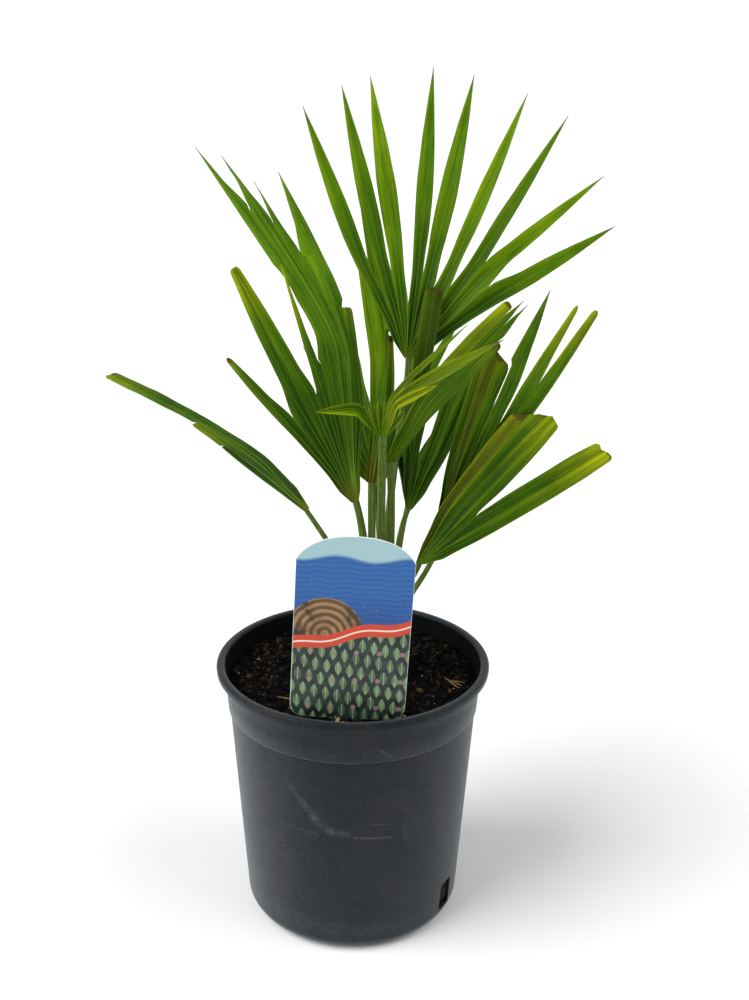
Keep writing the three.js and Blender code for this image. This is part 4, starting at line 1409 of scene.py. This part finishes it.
def leaf_material(name, colour, heart, settings):
    """A leaflet's skin: lengthwise veins, light ribs and edges, ends and heart of other colours,
    and painted shade in the valleys of its folds near the hub."""
    tones = [
        (position, tuple(min(1.0, part * share) for part, share in zip(colour, shares)))
        for position, *shares in LEAF_TONES
    ]
    light = tuple(
        min(1.0, part * 1.7 + extra) for part, extra in zip(colour, (0.035, 0.045, 0.012))
    )

    def finish(place):
        line = place.attribute("line", "Vector")
        across, _, margin = line.axes()
        shade, span, dry, brown, lime, core = (
            place.attribute(name) for name in ("shade", "span", "dry", "brown", "lime", "core")
        )
        streaks = line.stretched(1.0, 0.02, 1.0).grain(0.9, 3.0, 0.6)
        fine = line.stretched(1.0, 0.05, 1.0).grain(2.4, 2.0, 0.5)
        blotch = line.stretched(1.0, 0.14, 1.0).grain(0.42, 4.0, 0.65)
        broad = place.grain(0.035, 3.0, 0.55)
        vein = (across * 6.6).maths("SINE")
        cord = (across * 3.0 - 1.6).maths("SINE").ramp(0.90, 1.0)
        valley = across / (across + margin + 0.01)
        near = span.ramp(1.1, 0.1)
        tint = 0.64 + streaks.ramp(0.34, 0.66) * 0.42 + broad.ramp(0.3, 0.7) * 0.24 + fine * 0.12
        tint = tint + vein * 0.03
        # Painted shade: darker along each rib's valley and lighter on the ridges, most near the
        # hub; shade brings the blade's painted shade and light.
        tint = tint * (1.0 + (valley * 0.95 - 0.58) * (0.16 + near * 0.84)) * shade * 0.5

        def tinted(other):
            """Another colour, as light or dark as the leaf is."""
            return tint.blend((0.0, 0.0, 0.0), scaled(other, 2))

        body = tint.node("ValToRGB", {"stops": tones}, {"Fac": tint})
        body = core.blend(body, heart)
        yellowed = broad.ramp(0.52, 0.74) * 0.28 + margin.ramp(1.3, 0.2) * 0.20
        body = yellowed.blend(body, tinted(settings.olive))
        ribs = across.ramp(0.50, 0.14) * (0.40 + near * 0.45)
        ribs = ribs + margin.ramp(0.36, 0.04) * (0.14 + near * 0.4)
        ribs = ribs + cord * (0.10 + streaks.ramp(0.4, 0.6) * 0.14)
        body = ribs.blend(body, (core * 0.7).blend(light, heart))
        body = (lime * (tint + 0.5)).blend(body, tinted(settings.lime))
        spots = (blotch + brown * 1.1 - 0.80).ramp(0.0, 0.14)
        body = (spots * 0.8).blend(body, settings.brown)
        body = dry.blend(body, settings.grey)
        specks = place.grain(1.25, 1.0, 0.4).ramp(0.735, 0.765) * 0.24
        body = specks.blend(body, (0.30, 0.36, 0.16))
        rough = 0.34 + streaks * 0.16 + (dry + brown) * 0.25
        return {
            "Base Color": body,
            "Roughness": rough.maths("MINIMUM", 0.9),
            "Specular IOR Level": 0.05,
            "height": (vein * 0.25 + streaks * 0.6 + fine * 0.3, 0.22),
        }

    return new_material(name, finish)


def add_skin(heap, blade, half):
    """Adds both sides and the edges of a blade. Returns its tones, in the order of their
    materials."""
    for post in blade.posts:
        heap.vertices.extend((post.point + post.outward * half, post.point - post.outward * half))
    tones = ["underside"]
    open_edges = {}
    for quad in blade.quads:
        tone = blade.tone(quad)
        if tone not in tones:
            tones.append(tone)
        a, b, c, d = quad
        heap.faces.append((2 * a, 2 * b, 2 * c, 2 * d))
        heap.faces.append((2 * a + 1, 2 * d + 1, 2 * c + 1, 2 * b + 1))
        heap.paints.extend((tones.index(tone), 0))
        for start, end in zip(quad, (b, c, d, a)):
            if open_edges.pop((end, start), None) is None:
                open_edges[(start, end)] = tones.index(tone)
    for (start, end), paint in open_edges.items():
        heap.faces.append((2 * end, 2 * start, 2 * start + 1, 2 * end + 1))
        heap.paints.append(paint)
    return tones


def blade_values(blade):
    """What the leaf's material reads at each point. line: how far it lies from the rib, from the
    hub and from the edge. shade: how light it is, painted shade and light: darker near the hub,
    lighter towards the ends, one half of each leaflet lighter and the other darker, times each
    leaflet's own tone. span: its distance from the hub, in tenths of a metre, and more where
    leaflets crowd. dry, brown, lime and core: how far dry, cut and fresh colours and that of the
    heart take over."""
    heart_reach = blade.frond["heart"][1]
    low, high, painted_shade_reach = blade.frond["depth"]
    shift = LEAF["streak_shift"] * blade.number
    lines = []
    fields = {key: [] for key in ("shade", "span", "dry", "brown", "lime", "core")}
    for post in blade.posts:
        shares = blade.taken_over(post)
        owners = owners_of(post)
        own = sum(blade.shades[owner] for owner in owners) / len(owners)
        # Painted light and shade: each leaflet's left half lighter and its right half darker, times
        # the leaflet's own tone.
        lit = 1 + LEAF["own_shade"] * own - LEAF["painted_side_light"] * post.side
        # Painted shade: darker near the hub, where the fronds shade each other, and lighter towards
        # the ends.
        shares["shade"] = lerp(low, high, clamp(post.along / painted_shade_reach)) * lit
        room = LEAF["uncrowded"] * post.along + 0.5
        shares["span"] = post.along / 100 / clamp((post.across + post.margin) / room, 0.3, 1.0)
        shares["core"] = 1 - smoothstep(0.1 * heart_reach, heart_reach, post.along)
        lines.extend((post.across, post.along + shift, post.margin) * 2)
        for key, values in fields.items():
            values.extend((shares[key], shares[key]))
    made = {key: ("FLOAT", values) for key, values in fields.items()}
    return {"line": ("FLOAT_VECTOR", lines), **made}


def make_blade(name, frond, number, settings, leaf):
    """One frond's blade as a thin closed sheet; leaf(tone, heart) gives its materials."""
    blade = Blade(frond, number)
    blade.sheet()
    heap = Heap()
    tones = add_skin(heap, blade, settings.thickness / MM / 2)
    heap.values = blade_values(blade)
    materials = [leaf(tone, frond["heart"][0]) for tone in tones]
    heap.piece(f"blade_{name}", materials, f"frond_{name}", "foliage", smooth=22.0)


# ------------------------------------------------------------------ stalks and stem


def stalk_curve(frond, t):
    """The point on a frond's stalk from its root at 0 to the hub at 1."""
    stalk = frond["stalk"]
    hub = Vector(frond["hub"])
    start = Vector((*stalk["root"], STEM["top"] + STEM["gap"]))
    second = start + UP * stalk["rise"]
    third = hub - Vector(stalk["lead"])
    s = 1 - t
    return start * s**3 + second * (3 * s * s * t) + third * (3 * s * t * t) + hub * t**3


STALK = dict(rings=41, sides=20, depth=0.85, flatness=0.82, groove=0.30, groove_width=0.6)


def make_stalk(name, frond, number, skin):
    """A stalk: grooved above and rounded below."""
    root_radius, hub_radius = frond["stalk"]["radius"]
    sides = STALK["sides"]
    rings, rises = [], []
    for ring in range(STALK["rings"]):
        t = ring / (STALK["rings"] - 1)
        centre = stalk_curve(frond, t)
        tangent = stalk_curve(frond, min(1, t + 0.01)) - stalk_curve(frond, max(0, t - 0.01))
        tangent.normalize()
        across = tangent.cross(blade_normal(frond)).normalized()
        outward = across.cross(tangent)
        radius = lerp(root_radius, hub_radius, t) * (1 + 0.03 * wobble(t * 9, number * 3.3))
        for k in range(sides):
            turn = math.tau * (k + 0.5) / sides
            wide = radius * math.cos(turn)
            high = STALK["depth"] * radius * math.sin(turn)
            if high > 0:
                inside = 1 - smoothstep(0.0, STALK["groove_width"], abs(wide) / radius)
                high = high * STALK["flatness"] - STALK["groove"] * radius * inside
            rings.append(centre + across * wide + outward * high)
            rises.append(t)
    heap = Heap()
    heap.add(rings, ring_faces(STALK["rings"], sides))
    heap.values = {"rise": ("FLOAT", rises)}
    heap.piece(f"stalk_skin_{name}", [skin], f"stalk_{name}", "stalk", smooth=60.0)


def stalk_material(settings):
    """Smooth green stalk with pale lengthwise lines, brownish at its foot."""

    def finish(place):
        rise = place.attribute("rise")
        streak = place.stretched(1, 1, 0.05).grain(1.1, 3.0, 0.6)
        blotch = place.grain(0.12, 4.0, 0.6)
        body = streak.ramp(0.3, 0.75).blend(settings.stalk, scaled(settings.stalk, 1.9))
        foot = (rise * 4.0 + blotch * 0.7 - 0.2).ramp(1.0, 0.1)
        body = foot.blend(body, settings.stalk_base)
        return {
            "Base Color": body.brighten(0.75 + blotch * 0.45),
            "Roughness": 0.36 + streak * 0.2,
            "Specular IOR Level": 0.15,
            "height": (streak + blotch * 0.3, 0.25),
        }

    return new_material("stalk skin", finish)


STEM = dict(
    x=18.5,
    y=0.0,
    foot=174.3,
    top=214.0,
    gap=0.3,  # between its top and the roots of the stalks
    radii=((0, 20.5), (0.14, 17.6), (0.45, 15.2), (0.85, 16.6), (1, 15.6)),  # by share of height
    sides=72,
    rings=41,
)


def stem_radius(share):
    """The stem's radius at a share of its height."""
    for (low, near), (high, far) in zip(STEM["radii"], STEM["radii"][1:]):
        if share <= high:
            return lerp(near, far, (share - low) / (high - low))
    return STEM["radii"][-1][1]


def fibre_material(name, colour):
    """Dry fibre: streaks along its length."""

    def finish(place):
        streak = place.stretched(1, 1, 0.15).grain(1.4, 4.0, 0.65)
        return {
            "Base Color": streak.ramp(0.3, 0.75).blend(scaled(colour, 0.4), scaled(colour, 1.6)),
            "Roughness": 0.7 + streak * 0.2,
            "Specular IOR Level": 0.25,
            "height": (streak, 0.5),
        }

    return new_material(name, finish)


def stem_point(radius, turn, height):
    """A point round the stem's axis."""
    x, y = polar(radius, turn)
    return Vector((STEM["x"] + x, STEM["y"] + y, height))


def make_stem_core(settings):
    """The stem, uneven with the feet of old leaves."""
    rings = []
    for ring in range(STEM["rings"]):
        share = ring / (STEM["rings"] - 1)
        height = lerp(STEM["foot"], STEM["top"], share)
        for k in range(STEM["sides"]):
            turn = math.tau * k / STEM["sides"]
            bases = 0.6 * math.cos(5 * turn + share * 7) + 0.5 * wobble(turn * 4, share * 6, 1.0)
            rings.append(stem_point(stem_radius(share) - 1.2 + bases * 0.9, turn, height))
    heap = Heap()
    heap.add(rings, ring_faces(STEM["rings"], STEM["sides"]))
    heap.piece("stem_core", [fibre_material("bark", settings.bark)], "stem", "stem", smooth=60.0)


def make_stem_fibre(settings):
    """Fibres that wind up round the stem, some to the left and some to the right."""
    draw = Random(5)
    hairs = Heap()
    for _ in range(settings.hairs):
        turn = draw.uniform(0, math.tau)
        start = draw.uniform(-0.02, 0.75)
        length = draw.uniform(0.2, 0.75)
        slant = draw.choice((-1, 1)) * draw.uniform(0.1, 0.5)
        path = []
        for i in range(7):
            share = start + length * i / 6
            radius = stem_radius(clamp(share)) - 0.5 + draw.uniform(0, 0.9)
            if share > 1:
                radius *= 1 - 1.05 * (share - 1)
            height = max(STEM["foot"] - 1, lerp(STEM["foot"], STEM["top"], share))
            path.append(stem_point(radius, turn + slant * i / 6, height))
        width = draw.uniform(0.12, 0.3)
        hairs.tube(path, [width * (1 - 0.5 * i / 6) for i in range(7)], 4, draw.randrange(3))
    fibres = [
        fibre_material(name, scaled(settings.fibre, share))
        for name, share in (("fibre", 1.0), ("pale fibre", 1.5), ("dark fibre", 0.45))
    ]
    hairs.piece("stem_fibre", fibres, None, "stem", smooth=80.0)


# ------------------------------------------------------------------ stage

LAMPS = {"key": ((-1.0, -0.35, 1.0), 50), "fill": ((1.0, -0.25, 0.95), 55)}  # from where, softness
FLOOR_RADIUS = 12.0
FLOOR_DROP = 0.0004  # how far the floor lies under the pot

# The camera's place in metres. It looks down and to the right and is rolled anticlockwise by so
# many degrees.
CAMERA = dict(place=(0.0, -0.6976, 0.5328), down=18.31, right=1.14, roll=0.56)


def lay_floor(settings):
    """A plain round floor."""
    disc = bmesh.new()
    bmesh.ops.create_circle(disc, cap_ends=True, segments=96, radius=FLOOR_RADIUS)
    mesh = bpy.data.meshes.new("floor")
    disc.to_mesh(mesh)
    disc.free()
    floor = add_object("floor", mesh)
    floor.location.z = -FLOOR_DROP
    surface = {"Base Color": settings.floor, "Roughness": 0.9, "Specular IOR Level": 0.1}
    mesh.materials.append(new_material("pale floor", lambda place: surface))


def bright_room(horizon, overhead):
    """Surroundings that are bright near the horizon and dimmer overhead."""
    world = bpy.data.worlds.new("bright room")
    world.use_nodes = True
    background = world.node_tree.nodes["Background"]
    direction = Shade(background.outputs[0]).node("TexCoord", output="Generated")
    rise = direction.axes()[2].ramp(0.14, 0.45)
    feed(background.inputs["Color"], (1.0, 1.0, 1.0))
    feed(background.inputs["Strength"], horizon + rise * (overhead - horizon))
    return world


def set_camera(scene, focal):
    """Places the camera; focal is its focal length in pixels of the image."""
    down, right, roll = (math.radians(CAMERA[key]) for key in ("down", "right", "roll"))
    level = Vector((math.sin(right), math.cos(right), 0))
    beside = Vector((math.cos(right), -math.sin(right), 0))
    forward = level * math.cos(down) - UP * math.sin(down)
    above = level * math.sin(down) + UP * math.cos(down)
    x_axis = beside * math.cos(roll) + above * math.sin(roll)
    y_axis = above * math.cos(roll) - beside * math.sin(roll)
    data = bpy.data.cameras.new("camera")
    data.sensor_fit = "VERTICAL"
    data.sensor_height = 24.0
    data.lens = focal * data.sensor_height / IMAGE_HEIGHT
    camera = add_object("camera", data)
    turned = Matrix((x_axis, y_axis, -forward)).transposed().to_4x4()
    camera.matrix_world = Matrix.Translation(Vector(CAMERA["place"])) @ turned
    scene.camera = camera


# ------------------------------------------------------------------ operators


class PALM_OT_pot(bpy.types.Operator):
    """Build the pot with its rolled lip, collar, rounded foot and drainage slots"""

    bl_idname = "palm.pot"
    bl_label = "Pot"

    def execute(self, context):
        settings = context.scene.palm_pot
        profile = pot_profile(settings)
        heap = Heap()
        heap.add(*spin(profile, POT_SIDES))
        heap.repaint((len(profile) - 1 - INSIDE_ROWS) * POT_SIDES, 1)
        materials = [pot_plastic(settings), soiled_shaded_plastic(settings)]
        pot = heap.piece("pot_shell", materials, "pot", "pot", smooth=35.0)
        cut_slots(pot, settings)
        return {"FINISHED"}


class PALM_OT_soil(bpy.types.Operator):
    """Fill the pot with peaty soil, crumbs, pale grit and rootlets"""

    bl_idname = "palm.soil"
    bl_label = "Soil"

    def execute(self, context):
        settings = context.scene.palm_soil
        level = settings.level / MM
        draw = Random(11)
        peat = soil_material("peat", settings.colour)
        straw = soil_material("straw grain", settings.straw, 0.5, 1.5)
        make_soil_bed(settings, level, peat)
        scatter_crumbs(settings, level, draw, peat)
        scatter_grit(settings, level, draw, straw)
        scatter_rootlets(settings, level, draw, straw)
        return {"FINISHED"}


class PALM_OT_label(bpy.types.Operator):
    """Make the arched plastic label and push its stake into the soil"""

    bl_idname = "palm.label"
    bl_label = "Label"

    def execute(self, context):
        settings = context.scene.palm_label
        thickness = settings.thickness / MM
        outline = label_outline(settings.width / MM)
        card = bmesh.new()
        front = card.faces.new([card.verts.new((x, -thickness / 2, z)) for x, z in outline])
        card.normal_update()
        solid = bmesh.ops.extrude_face_region(card, geom=[front])
        moved = [item for item in solid["geom"] if isinstance(item, bmesh.types.BMVert)]
        bmesh.ops.translate(card, verts=moved, vec=(0, thickness, 0))
        bmesh.ops.recalc_face_normals(card, faces=card.faces[:])
        for face in card.faces:
            face.material_index = 0 if face.normal.y < -0.9 else 1
        rims = [
            edge for edge in card.edges if any(abs(face.normal.y) > 0.9 for face in edge.link_faces)
        ]
        bmesh.ops.bevel(
            card, geom=rims, offset=LABEL["bevel"], segments=2, affect="EDGES", material=1
        )
        bmesh.ops.triangulate(card, faces=[face for face in card.faces if len(face.verts) > 4])
        turn = Matrix.Rotation(math.radians(LABEL["lean"]), 4, "Y")
        place = Matrix.Translation(Vector((LABEL["x"], LABEL["y"], LABEL["bottom"])))
        bmesh.ops.transform(card, matrix=Matrix.Scale(MM, 4) @ place @ turn, verts=card.verts[:])
        mesh = bpy.data.meshes.new("label_card")
        card.to_mesh(mesh)
        card.free()
        mesh.materials.append(label_print(settings))
        mesh.materials.append(label_card(settings))
        add_piece("label_card", mesh, "label")
        return {"FINISHED"}


class PALM_OT_stem(bpy.types.Operator):
    """Build the short stem with old leaf bases, wrapped in brown fibre"""

    bl_idname = "palm.stem"
    bl_label = "Stem"

    def execute(self, context):
        settings = context.scene.palm_stem
        make_stem_core(settings)
        make_stem_fibre(settings)
        return {"FINISHED"}


class PALM_OT_fronds(bpy.types.Operator):
    """Grow every frond: its grooved stalk and its fan of folded leaflets"""

    bl_idname = "palm.fronds"
    bl_label = "Fronds"

    def execute(self, context):
        settings = context.scene.palm_fronds
        made = {}

        def leaf(tone, heart):
            """The material of leaflets of one tone in fronds with one heart, made only once."""
            if (tone, heart) not in made:
                colour = getattr(settings, tone)
                core = colour if tone == "underside" else getattr(settings, heart)
                made[tone, heart] = leaf_material(f"leaf {tone} on {heart}", colour, core, settings)
            return made[tone, heart]

        skin = stalk_material(settings)
        for number, (name, frond) in enumerate(FRONDS.items()):
            make_blade(name, frond, number, settings, leaf)
            make_stalk(name, frond, number, skin)
        return {"FINISHED"}


class PALM_OT_stage(bpy.types.Operator):
    """Lay the floor, set the soft light and place the camera"""

    bl_idname = "palm.stage"
    bl_label = "Stage"

    def execute(self, context):
        settings = context.scene.palm_stage
        lay_floor(settings)
        context.scene.world = bright_room(settings.horizon, settings.overhead)
        context.scene.view_settings.view_transform = "Standard"
        for name, (place, angle) in LAMPS.items():
            light = bpy.data.lights.new(name, "SUN")
            light.angle = math.radians(angle)
            light.energy = getattr(settings, name)
            lamp = add_object(name, light)
            lamp.location = place
            lamp.rotation_euler = (-Vector(place)).to_track_quat("-Z", "Y").to_euler()
        set_camera(context.scene, settings.focal)
        return {"FINISHED"}


OPERATORS = (
    PALM_OT_stage, PALM_OT_pot, PALM_OT_soil, PALM_OT_label, PALM_OT_stem, PALM_OT_fronds,
)
SETTINGS = {
    "palm_pot": PotSettings, "palm_soil": SoilSettings, "palm_label": LabelSettings,
    "palm_stem": StemSettings, "palm_fronds": FrondSettings, "palm_stage": StageSettings,
}


class PALM_PT_panel(bpy.types.Panel):
    """Lists the settings and the operators"""

    bl_label = "Potted palm"
    bl_idname = "PALM_PT_panel"
    bl_space_type = "VIEW_3D"
    bl_region_type = "UI"
    bl_category = "Palm"

    def draw(self, context):
        for key, group in SETTINGS.items():
            box = self.layout.box()
            box.label(text=key.removeprefix("palm_").capitalize())
            for name in group.__annotations__:
                box.prop(getattr(context.scene, key), name)
        for operator in OPERATORS:
            self.layout.operator(operator.bl_idname)


CLASSES = (*SETTINGS.values(), *OPERATORS, PALM_PT_panel)


def register():
    """Makes the settings, the operators and the panel known to Blender."""
    for cls in CLASSES:
        bpy.utils.register_class(cls)
    for key, group in SETTINGS.items():
        setattr(bpy.types.Scene, key, bpy.props.PointerProperty(type=group))


def unregister():
    """Takes them away again."""
    for key in SETTINGS:
        delattr(bpy.types.Scene, key)
    for cls in reversed(CLASSES):
        bpy.utils.unregister_class(cls)


def main():
    """Builds everything in order."""
    register()
    bpy.ops.palm.stage()
    bpy.ops.palm.pot()
    bpy.ops.palm.soil()
    bpy.ops.palm.label()
    bpy.ops.palm.stem()
    bpy.ops.palm.fronds()


if __name__ == "__main__":
    main()
